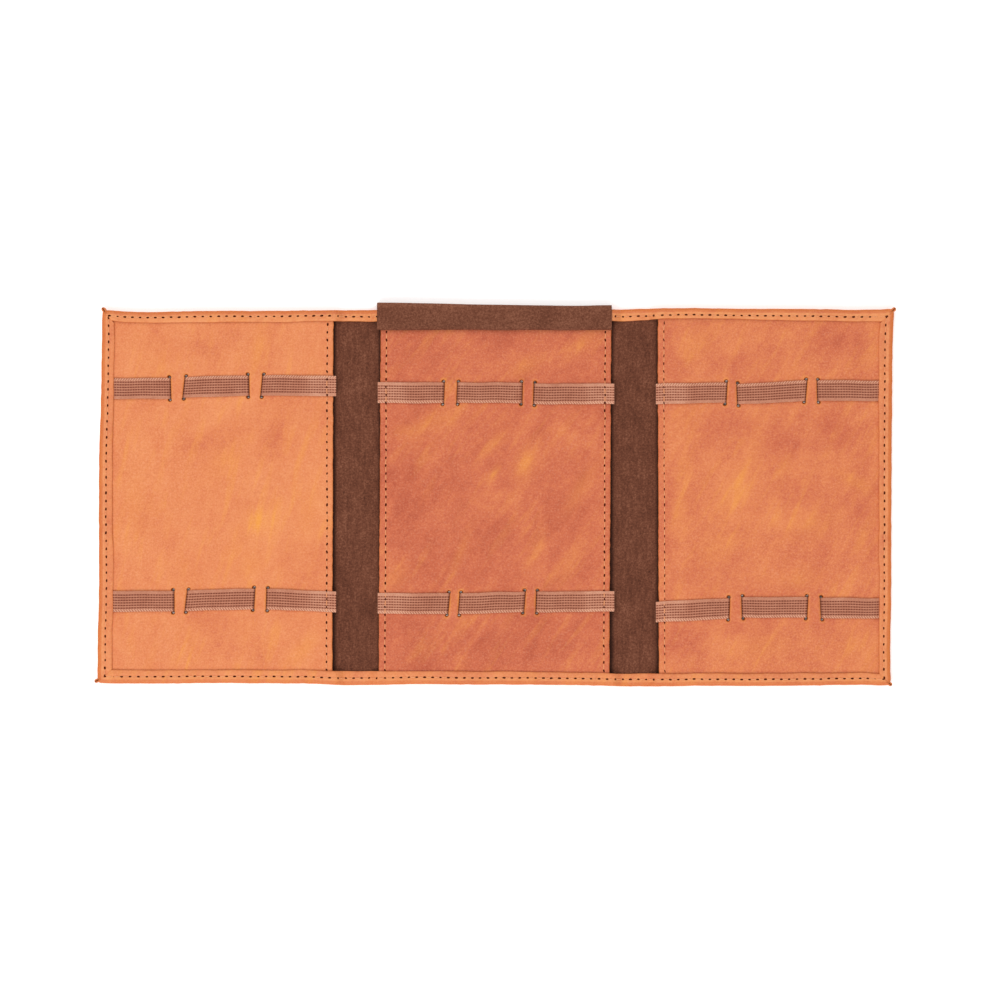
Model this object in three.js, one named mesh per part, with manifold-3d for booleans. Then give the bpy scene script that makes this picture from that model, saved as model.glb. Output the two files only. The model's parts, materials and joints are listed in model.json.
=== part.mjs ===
// A trifold leather brush case, lying open and flat with its inner side up.
//
// Frame, in millimetres: +X to the right, +Y towards the edge with the flap, +Z up, out of the
// inner side. The origin is the middle of the case's back face, which rests on the table.
//
// The layers from the table up are the cover leather, the lining, the stiffener boards, the inner
// leather panels, and on top the elastic straps and the turned-over hem. The boards stop at the two
// spines, so the case folds along two lines beside each spine's edges.

import * as THREE from 'three';
import { mergeVertices } from 'three/addons/utils/BufferGeometryUtils.js';
import Module from 'manifold-3d';

// Driving sizes of the open case.
const CASE_HALF_WIDTH = 198;
const CASE_HALF_HEIGHT = 93.5;
const CENTRE_HALF_WIDTH = 58;
const SPINE_WIDTH = 23;

// Each fold line lies this far inside the spine, measured from the panel's edge.
const FOLD_INSET = 2.6;
const FOLD_GAP = 0.3;

// Layers, as [bottom, top] heights.
const COVER = [0, 1.2];
const LINING = [1.3, 1.8];
const BOARD = [1.9, 3.1];
const PANEL = [3.2, 4.4];
const STRAP = [4.5, 5.2];
const SPINE_HEM = [1.9, 2.8];
const SIDE_HEM = [4.5, 5.4];
const FLAP_HEM = [5.3, 6.2];

const WALL = 1.1;
const HEM_WIDTH = 6.2;
const LAYER_GAP = 0.2;
const TUCKED_LINING = 10;

// The boards stop this far short of a panel's raw edge.
const BOARD_INSET = 1;

// The hem stays low for this far beside a fold line, so that the folded spine clears it.
const HEM_STEP_BACK = 3.5;

// The pinched tips of the cover's mitred corners.
const TIP_LENGTH = 2.6;
const TIP_WIDTH = 1.8;
const TIP_HEIGHTS = [1.0, 5.0];

// Elastic straps and their slits.
const STRAP_WIDTH = 10.3;
const STRAP_THICKNESS = STRAP[1] - STRAP[0];
const STRAP_UNDER = [2.3, 3.0];
const STRAP_TUCKED = [3.65, 4.35];
const STRAP_TUCK_LENGTH = 4.5;
const SLIT_WIDTH = 1.5;
const SLIT_LENGTH = 11.6;
const SLIT_HOLE_RADIUS = 1.0;
const SLIT_HOLE_SIDES = 12;
const CHANNEL_MARGIN = 1.6;
const CHANNEL_SIDE_GAP = 0.45;
const CHANNEL_FLOOR = 2.2;
const RECESS_FLOOR = 3.55;
const RECESS_MARGIN = 0.5;

// The flap: it leaves the hem, turns back over it about the lower fold, and drops over the edge.
const FLAP_THICKNESS = 0.7;
const FLAP_HALF_WIDTH = 58.5;
const FLAP_FOLD = { y: 84.9, z: 5.9 };
const FLAP_TAIL_FOLD_Y = 95.6;
const FLAP_RISE = 0.7;
const FLAP_ANCHOR_END = 92;
const FLAP_TAIL_BOTTOM = 0.3;
const FLAP_ANCHOR_HALF_WIDTH = 56.5;

// Thread, as a low bead along each stitched row.
const THREAD_WIDTH = 0.5;
const THREAD_HEIGHT = 0.3;
const HEM_STITCH_INSET = 3.2;
const EDGE_STITCH_INSET = 3;
const SEAM_STRAP_MARGIN = 1.0;
const SEAM_LIFT = 0.05;
const SEAM_END_GAP = 0.5;
const SEAM_FLAP_GAP = 2.5;

// Each strap: its panel, and six stations along X as [x, y of the strap's middle]. The first and
// last are its ends, and the four between them are its slits.
const STRAPS = {
  strap_left_top: {
    panel: 'left',
    stations: [
      [-195.0, 54.2], [-162.8, 54.3], [-155.9, 54.8],
      [-123.6, 55.7], [-117.0, 55.7], [-79.9, 55.6],
    ],
  },
  strap_left_bottom: {
    panel: 'left',
    stations: [
      [-195.0, -52.2], [-161.1, -52.1], [-154.8, -51.9],
      [-120.9, -50.9], [-114.6, -51.1], [-79.9, -52.3],
    ],
  },
  strap_centre_top: {
    panel: 'centre',
    stations: [
      [-59.1, 52.1], [-26.1, 52.1], [-19.3, 52.1],
      [13.0, 52.1], [19.0, 51.6], [59.1, 51.5],
    ],
  },
  strap_centre_bottom: {
    panel: 'centre',
    stations: [
      [-59.1, -53.2], [-23.7, -53.3], [-18.3, -53.4],
      [14.2, -52.3], [20.2, -52.4], [59.1, -52.2],
    ],
  },
  strap_right_top: {
    panel: 'right',
    stations: [
      [79.9, 51.5], [115.2, 52.2], [120.7, 51.4],
      [155.0, 53.2], [160.8, 53.1], [195.0, 53.1],
    ],
  },
  strap_right_bottom: {
    panel: 'right',
    stations: [
      [79.9, -57.5], [116.6, -55.7], [123.1, -55.1],
      [155.6, -55.1], [162.5, -55.6], [195.0, -55.6],
    ],
  },
};

// Where things come from the driving sizes.
const SIDE_PANEL_EDGE = CENTRE_HALF_WIDTH + SPINE_WIDTH;
const INNER_FOLD = CENTRE_HALF_WIDTH + FOLD_INSET;
const OUTER_FOLD = SIDE_PANEL_EDGE - FOLD_INSET;
const INSIDE_HALF_WIDTH = CASE_HALF_WIDTH - WALL - LAYER_GAP;
const INSIDE_HALF_HEIGHT = CASE_HALF_HEIGHT - WALL - LAYER_GAP;
const HEM_INNER_Y = CASE_HALF_HEIGHT - HEM_WIDTH;
const HEM_INNER_X = CASE_HALF_WIDTH - HEM_WIDTH;
const CENTRE_SPAN = [-INNER_FOLD + FOLD_GAP / 2, INNER_FOLD - FOLD_GAP / 2];
const SPINE_SPAN = [INNER_FOLD + FOLD_GAP / 2, OUTER_FOLD - FOLD_GAP / 2];
const SIDE_SPAN = [OUTER_FOLD + FOLD_GAP / 2, CASE_HALF_WIDTH];
const SIDE_PANEL_SPAN = [SIDE_PANEL_EDGE, INSIDE_HALF_WIDTH];
const CENTRE_PANEL_SPAN = [-CENTRE_HALF_WIDTH, CENTRE_HALF_WIDTH];
const SIDE_BOARD_SPAN = [SIDE_PANEL_EDGE + BOARD_INSET, INSIDE_HALF_WIDTH];
const CENTRE_BOARD_SPAN = [-CENTRE_HALF_WIDTH + BOARD_INSET, CENTRE_HALF_WIDTH - BOARD_INSET];
const CENTRE_HIGH = [CENTRE_SPAN[0] + HEM_STEP_BACK, CENTRE_SPAN[1] - HEM_STEP_BACK];
const COVER_Y = [-CASE_HALF_HEIGHT, CASE_HALF_HEIGHT];
const INSIDE_Y = [-INSIDE_HALF_HEIGHT, INSIDE_HALF_HEIGHT];
const ENDS = { top: 1, bottom: -1 };

const wasm = await Module();
wasm.setup();

const brushCase = new THREE.Group();

const MATERIALS = {
  cover: { color: 0xd98a52, roughness: 0.5, metalness: 0 },
  panelLeft: { color: 0xe8935c, roughness: 0.55, metalness: 0 },
  panelCentre: { color: 0xcf7048, roughness: 0.55, metalness: 0 },
  panelRight: { color: 0xdb7f50, roughness: 0.55, metalness: 0 },
  microfibre: { color: 0x5a3222, roughness: 0.95, metalness: 0 },
  board: { color: 0xdedbd2, roughness: 0.9, metalness: 0 },
  elastic: { color: 0xb27b62, roughness: 0.85, metalness: 0 },
  thread: { color: 0xa8602c, roughness: 0.6, metalness: 0 },
};

function addMesh(name, geometry, material) {
  const mesh = new THREE.Mesh(geometry, new THREE.MeshStandardMaterial(MATERIALS[material]));
  mesh.name = name;
  brushCase.add(mesh);
}

// A box from its spans along X, Y and Z, each given in either order.
function box(spanX, spanY, spanZ) {
  const spans = [spanX, spanY, spanZ];
  const size = spans.map(([a, b]) => Math.abs(b - a));
  const middle = spans.map(([a, b]) => (a + b) / 2);
  return new THREE.BoxGeometry(...size).translate(...middle);
}

function toManifold(geometry) {
  const bare = geometry.clone();
  bare.deleteAttribute('normal');
  bare.deleteAttribute('uv');
  const merged = mergeVertices(bare, 1e-4);
  return new wasm.Manifold(new wasm.Mesh({
    numProp: 3,
    vertProperties: new Float32Array(merged.attributes.position.array),
    triVerts: new Uint32Array(merged.index.array),
  }));
}

function toGeometry(manifold) {
  const mesh = manifold.getMesh();
  const geometry = new THREE.BufferGeometry();
  geometry.setAttribute('position', new THREE.BufferAttribute(mesh.vertProperties, 3));
  geometry.setIndex(new THREE.BufferAttribute(mesh.triVerts, 1));
  geometry.computeVertexNormals();
  return geometry;
}

// The solids joined together, less the cutters.
function combine(solids, cutters = []) {
  let result = toManifold(solids[0]);
  solids.slice(1).forEach((solid) => {
    result = result.add(toManifold(solid));
  });
  cutters.forEach((cutter) => {
    result = result.subtract(toManifold(cutter));
  });
  return toGeometry(result);
}

function mirrorSpan([a, b], side) {
  return [a * side, b * side];
}

// The walls up the top and bottom edges of the cover.
function endWalls(spanX, hem) {
  return Object.values(ENDS).map((sign) => {
    const spanY = [sign * (CASE_HALF_HEIGHT - WALL), sign * CASE_HALF_HEIGHT];
    return box(spanX, spanY, [COVER[0], hem[1]]);
  });
}

// The hem along the top or bottom edge: its wall and the lip turned inwards.
function endHem(spanX, end, hem) {
  const sign = ENDS[end];
  const wallY = [sign * (CASE_HALF_HEIGHT - WALL), sign * CASE_HALF_HEIGHT];
  const lipY = [sign * HEM_INNER_Y, sign * CASE_HALF_HEIGHT];
  return [box(spanX, wallY, [COVER[0], hem[1]]), box(spanX, lipY, hem)];
}

// The pinched tip of one mitred corner, pointing out along the diagonal.
function cornerTip(side, end) {
  const reach = TIP_LENGTH + WALL;
  const tip = box([-WALL, reach - WALL], [-TIP_WIDTH / 2, TIP_WIDTH / 2], TIP_HEIGHTS);
  tip.rotateZ(Math.atan2(ENDS[end], side));
  return tip.translate(side * (CASE_HALF_WIDTH - WALL / 2), ENDS[end] * (CASE_HALF_HEIGHT - WALL / 2), 0);
}

function centreCover() {
  return combine([
    box(CENTRE_SPAN, COVER_Y, COVER),
    ...endWalls(CENTRE_SPAN, SPINE_HEM),
    ...endHem(CENTRE_HIGH, 'top', FLAP_HEM),
    ...endHem(CENTRE_HIGH, 'bottom', SIDE_HEM),
  ]);
}

function spineCover(side) {
  const spanX = mirrorSpan(SPINE_SPAN, side);
  return combine([
    box(spanX, COVER_Y, COVER),
    ...endHem(spanX, 'top', SPINE_HEM),
    ...endHem(spanX, 'bottom', SPINE_HEM),
  ]);
}

function sideCover(side) {
  const spanX = mirrorSpan(SIDE_SPAN, side);
  const highX = mirrorSpan([SIDE_SPAN[0] + HEM_STEP_BACK, CASE_HALF_WIDTH], side);
  const wallX = mirrorSpan([CASE_HALF_WIDTH - WALL, CASE_HALF_WIDTH], side);
  const lipX = mirrorSpan([HEM_INNER_X, CASE_HALF_WIDTH], side);
  return combine([
    box(spanX, COVER_Y, COVER),
    ...endWalls(spanX, SPINE_HEM),
    ...endHem(highX, 'top', SIDE_HEM),
    ...endHem(highX, 'bottom', SIDE_HEM),
    box(wallX, COVER_Y, [COVER[0], SIDE_HEM[1]]),
    box(lipX, COVER_Y, SIDE_HEM),
    cornerTip(side, 'top'),
    cornerTip(side, 'bottom'),
  ]);
}

// The height of a strap's middle at x, along the straight lines between its stations.
function strapMiddle(stations, x) {
  const next = stations.findIndex(([stationX]) => stationX >= x);
  if (next === -1) {
    return stations[stations.length - 1][1];
  }
  if (next === 0) {
    return stations[0][1];
  }
  const [x0, y0] = stations[next - 1];
  const [x1, y1] = stations[next];
  return y0 + ((y1 - y0) * (x - x0)) / (x1 - x0);
}

// A strap woven through its slits: over the leather, under each bridge, and over it again. Where its
// outer end goes under a side hem it drops into the recess cut for it.
function strapGeometry({ panel, stations }) {
  const half = STRAP_THICKNESS / 2;
  const xs = stations.map(([x]) => x);
  const tuckedFirst = panel === 'left';
  const tuckedLast = panel === 'right';
  const levels = [
    tuckedFirst ? STRAP_TUCKED : null,
    STRAP,
    STRAP_UNDER,
    STRAP,
    STRAP_UNDER,
    STRAP,
    tuckedLast ? STRAP_TUCKED : null,
  ];
  const steps = [xs[0] + STRAP_TUCK_LENGTH, ...xs.slice(1, 5), xs[5] - STRAP_TUCK_LENGTH];
  const upper = [];
  const lower = [];
  const runs = levels.map((level, i) => [level, steps[i - 1], steps[i]]).filter(([level]) => level);
  runs.forEach(([level, from, to], i) => {
    const before = i > 0 ? runs[i - 1][0] : null;
    const after = i < runs.length - 1 ? runs[i + 1][0] : null;
    const start = before ? from : xs[0];
    const stop = after ? to : xs[5];
    const startShift = before ? half * Math.sign(level[0] - before[0]) : 0;
    const stopShift = after ? half * Math.sign(level[0] - after[0]) : 0;
    upper.push([start - startShift, level[1]], [stop + stopShift, level[1]]);
    lower.push([start + startShift, level[0]], [stop - stopShift, level[0]]);
  });
  const outline = new THREE.Shape([...upper, ...lower.reverse()].map(([x, z]) => new THREE.Vector2(x, z)));
  const geometry = new THREE.ExtrudeGeometry(outline, { depth: STRAP_WIDTH, bevelEnabled: false, steps: 1 });
  geometry.translate(0, 0, -STRAP_WIDTH / 2).rotateX(Math.PI / 2);
  const position = geometry.attributes.position;
  for (let i = 0; i < position.count; i += 1) {
    position.setY(i, position.getY(i) + strapMiddle(stations, position.getX(i)));
  }
  geometry.computeVertexNormals();
  return geometry;
}

// The cutters for one slit: a narrow cut with a punched hole at each end.
function slitCutters([x, y]) {
  const through = [PANEL[0] - 1, PANEL[1] + 1];
  const halfWidth = SLIT_WIDTH / 2;
  const halfLength = SLIT_LENGTH / 2;
  const cut = box([x - halfWidth, x + halfWidth], [y - halfLength, y + halfLength], through);
  const holes = Object.values(ENDS).map((sign) => {
    const hole = new THREE.CylinderGeometry(
      SLIT_HOLE_RADIUS, SLIT_HOLE_RADIUS, through[1] - through[0], SLIT_HOLE_SIDES,
    );
    hole.rotateX(Math.PI / 2);
    return hole.translate(x, y + sign * halfLength, (through[0] + through[1]) / 2);
  });
  return [cut, ...holes];
}

function strapsOn(panel) {
  return Object.values(STRAPS).filter((strap) => strap.panel === panel);
}

// The recess that takes a strap's outer end under the side hem.
function recessCutter({ panel, stations }) {
  const end = panel === 'left' ? stations[0] : stations[5];
  const inwards = panel === 'left' ? 1 : -1;
  const halfWidth = STRAP_WIDTH / 2 + RECESS_MARGIN;
  const spanX = [
    end[0] - inwards * RECESS_MARGIN,
    end[0] + inwards * (STRAP_TUCK_LENGTH + STRAP_THICKNESS / 2 + RECESS_MARGIN),
  ];
  return box(spanX, [end[1] - halfWidth, end[1] + halfWidth], [RECESS_FLOOR, PANEL[1] + 1]);
}

function panelGeometry(panel, spanX) {
  const straps = strapsOn(panel);
  const slits = straps.flatMap(({ stations }) => stations.slice(1, 5).flatMap(slitCutters));
  const recesses = panel === 'centre' ? [] : straps.map(recessCutter);
  return combine([box(spanX, INSIDE_Y, PANEL)], [...slits, ...recesses]);
}

// A board with a shallow channel under each leather bridge, where the strap passes.
function boardGeometry(panel, spanX) {
  const channels = strapsOn(panel).flatMap(({ stations }) => [1, 3].map((i) => {
    const [from, to] = [stations[i], stations[i + 1]];
    const halfWidth = STRAP_WIDTH / 2 + CHANNEL_SIDE_GAP;
    return box(
      [from[0] - CHANNEL_MARGIN, to[0] + CHANNEL_MARGIN],
      [Math.min(from[1], to[1]) - halfWidth, Math.max(from[1], to[1]) + halfWidth],
      [CHANNEL_FLOOR, BOARD[1] + 1],
    );
  }));
  return combine([box(spanX, INSIDE_Y, BOARD)], channels);
}

// A stitched row beside a panel's raw edge. It steps up over each strap's end.
function edgeSeam(x, panel) {
  const ends = strapsOn(panel)
    .map(({ stations }) => strapMiddle(stations, x))
    .sort((a, b) => a - b);
  const low = PANEL[1] + SEAM_LIFT;
  const high = STRAP[1] + SEAM_LIFT;
  const reach = HEM_INNER_Y - SEAM_END_GAP;
  const over = STRAP_WIDTH / 2 + SEAM_STRAP_MARGIN;
  const inner = over - THREAD_HEIGHT;
  const bottom = [[-reach, low]];
  const top = [[-reach, low + THREAD_HEIGHT]];
  ends.forEach((y) => {
    bottom.push([y - inner, low], [y - inner, high], [y + inner, high], [y + inner, low]);
    top.push(
      [y - over, low + THREAD_HEIGHT],
      [y - over, high + THREAD_HEIGHT],
      [y + over, high + THREAD_HEIGHT],
      [y + over, low + THREAD_HEIGHT],
    );
  });
  const last = panel === 'centre' ? FLAP_FOLD.y - SEAM_FLAP_GAP : reach;
  bottom.push([last, low]);
  top.push([last, low + THREAD_HEIGHT]);
  const outline = new THREE.Shape([...bottom, ...top.reverse()].map(([y, z]) => new THREE.Vector2(y, z)));
  const geometry = new THREE.ExtrudeGeometry(outline, { depth: THREAD_WIDTH, bevelEnabled: false, steps: 1 });
  geometry.translate(0, 0, -THREAD_WIDTH / 2);
  geometry.rotateX(Math.PI / 2).rotateZ(Math.PI / 2);
  return geometry.translate(x, 0, 0);
}

// A straight stitched row along the top or bottom hem, lying on a lip whose top is at the given height.
function endSeam(spanX, end, lipTop) {
  const y = ENDS[end] * (CASE_HALF_HEIGHT - HEM_STITCH_INSET);
  const bottom = lipTop + SEAM_LIFT;
  return box(spanX, [y - THREAD_WIDTH / 2, y + THREAD_WIDTH / 2], [bottom, bottom + THREAD_HEIGHT]);
}

// The row round a side panel's hem: along the top, down the outer edge and along the bottom.
function sideHemSeam(side) {
  const start = SIDE_SPAN[0] + HEM_STEP_BACK;
  const half = THREAD_WIDTH / 2;
  const x = CASE_HALF_WIDTH - HEM_STITCH_INSET;
  const y = CASE_HALF_HEIGHT - HEM_STITCH_INSET;
  const corners = [
    [start, -y - half], [x + half, -y - half], [x + half, y + half], [start, y + half],
    [start, y - half], [x - half, y - half], [x - half, -y + half], [start, -y + half],
  ];
  const outline = new THREE.Shape(corners.map((corner) => new THREE.Vector2(side * corner[0], corner[1])));
  const geometry = new THREE.ExtrudeGeometry(outline, { depth: THREAD_HEIGHT, bevelEnabled: false });
  return geometry.translate(0, 0, SIDE_HEM[1] + SEAM_LIFT);
}

function addSide(word, side) {
  const material = side < 0 ? 'panelLeft' : 'panelRight';
  const tuckedX = mirrorSpan([SIDE_SPAN[0], SIDE_PANEL_EDGE + TUCKED_LINING], side);
  const spineX = mirrorSpan(SPINE_SPAN, side);
  const panelX = mirrorSpan(SIDE_PANEL_SPAN, side);
  addMesh(`cover_${word}`, sideCover(side), 'cover');
  addMesh(`cover_${word}_spine`, spineCover(side), 'cover');
  addMesh(`lining_${word}_edge`, box(tuckedX, INSIDE_Y, LINING), 'microfibre');
  addMesh(`lining_${word}_spine`, box(spineX, INSIDE_Y, LINING), 'microfibre');
  addMesh(`board_${word}`, boardGeometry(word, mirrorSpan(SIDE_BOARD_SPAN, side)), 'board');
  addMesh(`panel_${word}`, panelGeometry(word, panelX), material);
  addMesh(`seam_${word}_inner`, edgeSeam(side * (SIDE_PANEL_EDGE + EDGE_STITCH_INSET), word), 'thread');
  addMesh(`seam_hem_${word}`, sideHemSeam(side), 'thread');
  Object.keys(ENDS).forEach((end) => {
    addMesh(`seam_hem_${word}_spine_${end}`, endSeam(spineX, end, SPINE_HEM[1]), 'thread');
  });
}

function addCentre() {
  addMesh('cover_centre', centreCover(), 'cover');
  addMesh('lining_centre', box(CENTRE_SPAN, INSIDE_Y, LINING), 'microfibre');
  addMesh('board_centre', boardGeometry('centre', CENTRE_BOARD_SPAN), 'board');
  addMesh('panel_centre', panelGeometry('centre', CENTRE_PANEL_SPAN), 'panelCentre');
  addMesh('seam_centre_left', edgeSeam(-CENTRE_HALF_WIDTH + EDGE_STITCH_INSET, 'centre'), 'thread');
  addMesh('seam_centre_right', edgeSeam(CENTRE_HALF_WIDTH - EDGE_STITCH_INSET, 'centre'), 'thread');
  addMesh('seam_hem_centre_top', endSeam(CENTRE_HIGH, 'top', FLAP_HEM[1]), 'thread');
  addMesh('seam_hem_centre_bottom', endSeam(CENTRE_HIGH, 'bottom', SIDE_HEM[1]), 'thread');
}

// The flap's three flat runs. The soft bends between them are left open at the folds.
function addFlap() {
  const stripBottom = FLAP_FOLD.z + FLAP_RISE;
  const tailInner = FLAP_TAIL_FOLD_Y + FLAP_RISE;
  addMesh('flap_anchor', box(
    [-FLAP_ANCHOR_HALF_WIDTH, FLAP_ANCHOR_HALF_WIDTH],
    [FLAP_FOLD.y, FLAP_ANCHOR_END],
    STRAP,
  ), 'microfibre');
  addMesh('flap_strip', box(
    [-FLAP_HALF_WIDTH, FLAP_HALF_WIDTH],
    [FLAP_FOLD.y, FLAP_TAIL_FOLD_Y],
    [stripBottom, stripBottom + FLAP_THICKNESS],
  ), 'microfibre');
  addMesh('flap_tail', box(
    [-FLAP_HALF_WIDTH, FLAP_HALF_WIDTH],
    [tailInner, tailInner + FLAP_THICKNESS],
    [FLAP_TAIL_BOTTOM, FLAP_FOLD.z],
  ), 'microfibre');
}

addCentre();
addSide('left', -1);
addSide('right', 1);
Object.entries(STRAPS).forEach(([name, strap]) => addMesh(name, strapGeometry(strap), 'elastic'));
addFlap();

export default brushCase;
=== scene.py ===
"""A trifold leather brush case, lying open: its leather, microfibre, elastic and stitching.

Shapes are worked out in millimetres, from the places of the case's solids, and made in metres.
"""

import json
import math

import bmesh
import bpy
import numpy as np
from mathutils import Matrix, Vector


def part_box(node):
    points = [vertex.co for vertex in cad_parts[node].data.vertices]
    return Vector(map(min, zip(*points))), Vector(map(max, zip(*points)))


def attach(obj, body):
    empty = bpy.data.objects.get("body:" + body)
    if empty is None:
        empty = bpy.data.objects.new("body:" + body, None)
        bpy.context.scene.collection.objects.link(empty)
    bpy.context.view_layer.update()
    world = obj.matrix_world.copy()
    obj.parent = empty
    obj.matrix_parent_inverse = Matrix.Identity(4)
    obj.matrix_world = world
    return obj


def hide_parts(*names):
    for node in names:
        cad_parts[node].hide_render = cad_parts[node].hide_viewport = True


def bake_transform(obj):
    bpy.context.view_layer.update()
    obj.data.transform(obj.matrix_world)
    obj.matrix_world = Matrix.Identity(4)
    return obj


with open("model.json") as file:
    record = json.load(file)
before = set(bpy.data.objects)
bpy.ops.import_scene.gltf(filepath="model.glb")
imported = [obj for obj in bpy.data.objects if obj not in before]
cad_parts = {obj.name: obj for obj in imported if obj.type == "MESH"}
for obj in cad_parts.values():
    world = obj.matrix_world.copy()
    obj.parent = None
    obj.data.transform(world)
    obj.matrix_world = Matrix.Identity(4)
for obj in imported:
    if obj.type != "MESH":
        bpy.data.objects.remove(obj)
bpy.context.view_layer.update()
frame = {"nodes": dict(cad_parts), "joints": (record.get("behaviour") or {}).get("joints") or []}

MM = 0.001

# ---------------------------------------------------------------- places, from the case's solids


def node_box(node):
    """A node's lowest and highest corners, in mm."""
    low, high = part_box(node)
    return np.array(low) / MM, np.array(high) / MM


def joint_place(name):
    """Where a joint's axis passes, in mm."""
    return next(np.array(j["pos_m"]) / MM for j in frame["joints"] if j["name"] == name)


CENTRE_EDGE = node_box("panel_centre")[1][0]
SIDE_EDGE = node_box("panel_right")[0][0]
PANEL_BOTTOM, PANEL_TOP = (corner[2] for corner in node_box("panel_centre"))
INSIDE_X = node_box("panel_right")[1][0]
INSIDE_Y = node_box("panel_right")[1][1]
HALF_HEIGHT = node_box("cover_left_spine")[1][1]
HALF_WIDTH = INSIDE_X + HALF_HEIGHT - INSIDE_Y
INNER_FOLD = joint_place("right_spine_fold")[0]
OUTER_FOLD = joint_place("right_panel_fold")[0]
MID_SPINE = (INNER_FOLD + OUTER_FOLD) / 2
LINING_BOTTOM = node_box("lining_centre")[0][2]
COVER_THICKNESS = LINING_BOTTOM - 0.1
LINING_END = node_box("lining_right_edge")[1][0]
SIDE_HEM_TOP = node_box("cover_left")[1][2]
SPINE_HEM_TOP = node_box("cover_left_spine")[1][2]
FLAP_HEM_TOP = node_box("cover_centre")[1][2]
FLAP_FOLD = joint_place("flap_turn")
STRAP_BOTTOM, STRAP_TOP = (corner[2] for corner in node_box("strap_centre_top"))

# The heights of a strap's middle where it lies over the leather and under it.
STRAP_HALF_THICKNESS = 0.35
OVER = STRAP_TOP - STRAP_HALF_THICKNESS
UNDER = STRAP_BOTTOM + STRAP_HALF_THICKNESS

# The fabric turns over this distance on each side of a fold line.
BEND = 2.5

# ---------------------------------------------------------------- small shared helpers


def smooth(t):
    t = np.clip(t, 0.0, 1.0)
    return t * t * (3 - 2 * t)


def between(x, low, high):
    """0 below low, 1 above high, smooth in between."""
    return smooth((np.asarray(x, float) - low) / (high - low))


def bump(x, middle, width):
    """A hump, 1 high at its middle."""
    return np.exp(-(((np.asarray(x, float) - middle) / width) ** 2))


class Waves:
    """Smooth, repeatable unevenness: a sum of plane waves, about 1 high."""

    def __init__(self, seed, shortest, longest, count=14, heading=None, spread=math.pi):
        random = np.random.default_rng(seed)
        length = np.exp(random.uniform(math.log(shortest), math.log(longest), count))
        middle = 0.0 if heading is None else heading
        angle = middle + random.uniform(-spread, spread, count)
        self.kx = 2 * math.pi * np.cos(angle) / length
        self.ky = 2 * math.pi * np.sin(angle) / length
        self.phase = random.uniform(0, 2 * math.pi, count)
        self.scale = math.sqrt(2.0 / count)

    def __call__(self, x, y=0.0):
        x, y = np.broadcast_arrays(np.asarray(x, float), np.asarray(y, float))
        total = np.zeros(x.shape)
        for kx, ky, phase in zip(self.kx, self.ky, self.phase):
            total += np.sin(kx * x + ky * y + phase)
        return total * self.scale


def curve(x, places, values):
    """A smooth curve through values given at places."""
    x, places, values = (np.asarray(v, float) for v in (x, places, values))
    slopes = np.gradient(values, places)
    x = np.clip(x, places[0], places[-1])
    i = np.clip(np.searchsorted(places, x, side="right") - 1, 0, len(places) - 2)
    gap = places[i + 1] - places[i]
    t = (x - places[i]) / gap
    rise = t * t * (3 - 2 * t)
    bend = (t - 2 * t ** 2 + t ** 3) * slopes[i] + (t ** 3 - t ** 2) * slopes[i + 1]
    return values[i] + (values[i + 1] - values[i]) * rise + bend * gap


# The edges of the case aren't quite straight: places along each edge, and how far it strays there
# to the right or upwards, in mm. The corners flare out a little into their pinched tips.
EDGE_STRAYS = {
    "top": (
        [-198, -193, -186, -175, -160, -135, -100, -85, -62, 62, 72, 84, 100, 120, 160, 184, 192, 198],
        [0.2, -0.1, -0.55, -0.8, -0.5, -0.35, -0.25, 0.0, 0.2,
         0.4, 0.75, 1.05, 1.0, 0.75, 0.6, 0.3, 0.55, 1.0],
    ),
    "bottom": (
        [-198, -180, -140, -100, -88, -78, -62, -40, -10, 30, 50, 64, 80, 100, 140, 160, 180, 190, 198],
        [0.1, 0.2, 0.3, 0.05, -0.1, -0.7, -0.65, -0.3, -0.4, -0.6,
         -0.9, -1.4, -1.3, -1.1, -1.1, -0.85, -0.5, -0.7, -1.1],
    ),
    "left": (
        [-93, -88, -70, -50, 0, 20, 40, 60, 84, 93],
        [-1.7, -1.4, -1.2, -0.8, -0.7, -0.6, 0.05, 0.55, 0.9, 0.9],
    ),
    "right": (
        [-93, -80, -50, 0, 40, 70, 84, 93],
        [-0.4, -0.55, -0.3, -0.1, 0.15, 0.5, 0.85, 1.5],
    ),
}
# How far in from the sides, and from the top and bottom, the case is still moved by its edges.
SIDE_REACH = 33
END_REACH = 18
CORNER_ROUND = 0.8
CORNER_REACH = 1.5
UNEVENNESS = 0.05
EDGE_WOBBLE = Waves(11, 18, 90)
EDGE_RIPPLE = Waves(12, 5, 14)


def outline(x, y):
    """Moves points of the straight rectangle to their places on the real, slightly uneven case."""
    x, y = np.broadcast_arrays(np.asarray(x, float), np.asarray(y, float))
    side = between(np.abs(x), HALF_WIDTH - SIDE_REACH, HALF_WIDTH)
    end = between(np.abs(y), HALF_HEIGHT - END_REACH, HALF_HEIGHT)
    shift_x = np.where(x < 0, curve(y, *EDGE_STRAYS["left"]), curve(y, *EDGE_STRAYS["right"]))
    shift_y = np.where(y > 0, curve(x, *EDGE_STRAYS["top"]), curve(x, *EDGE_STRAYS["bottom"]))
    shift_x = shift_x + UNEVENNESS * (EDGE_WOBBLE(y, 7.0) + EDGE_RIPPLE(y, 3.0))
    shift_y = shift_y + UNEVENNESS * (EDGE_WOBBLE(x, -9.0) + EDGE_RIPPLE(x, 5.0))
    to_corner = (HALF_WIDTH - np.abs(x)) + (HALF_HEIGHT - np.abs(y))
    pull = CORNER_ROUND * np.exp(-to_corner / CORNER_REACH)
    return x + side * shift_x - np.sign(x) * pull, y + end * shift_y - np.sign(y) * pull


def placed(points):
    """Points of the straight case, as an array of xyz, moved to the real outline."""
    points = np.array(points, float)
    points[:, 0], points[:, 1] = outline(points[:, 0], points[:, 1])
    return points


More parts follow.
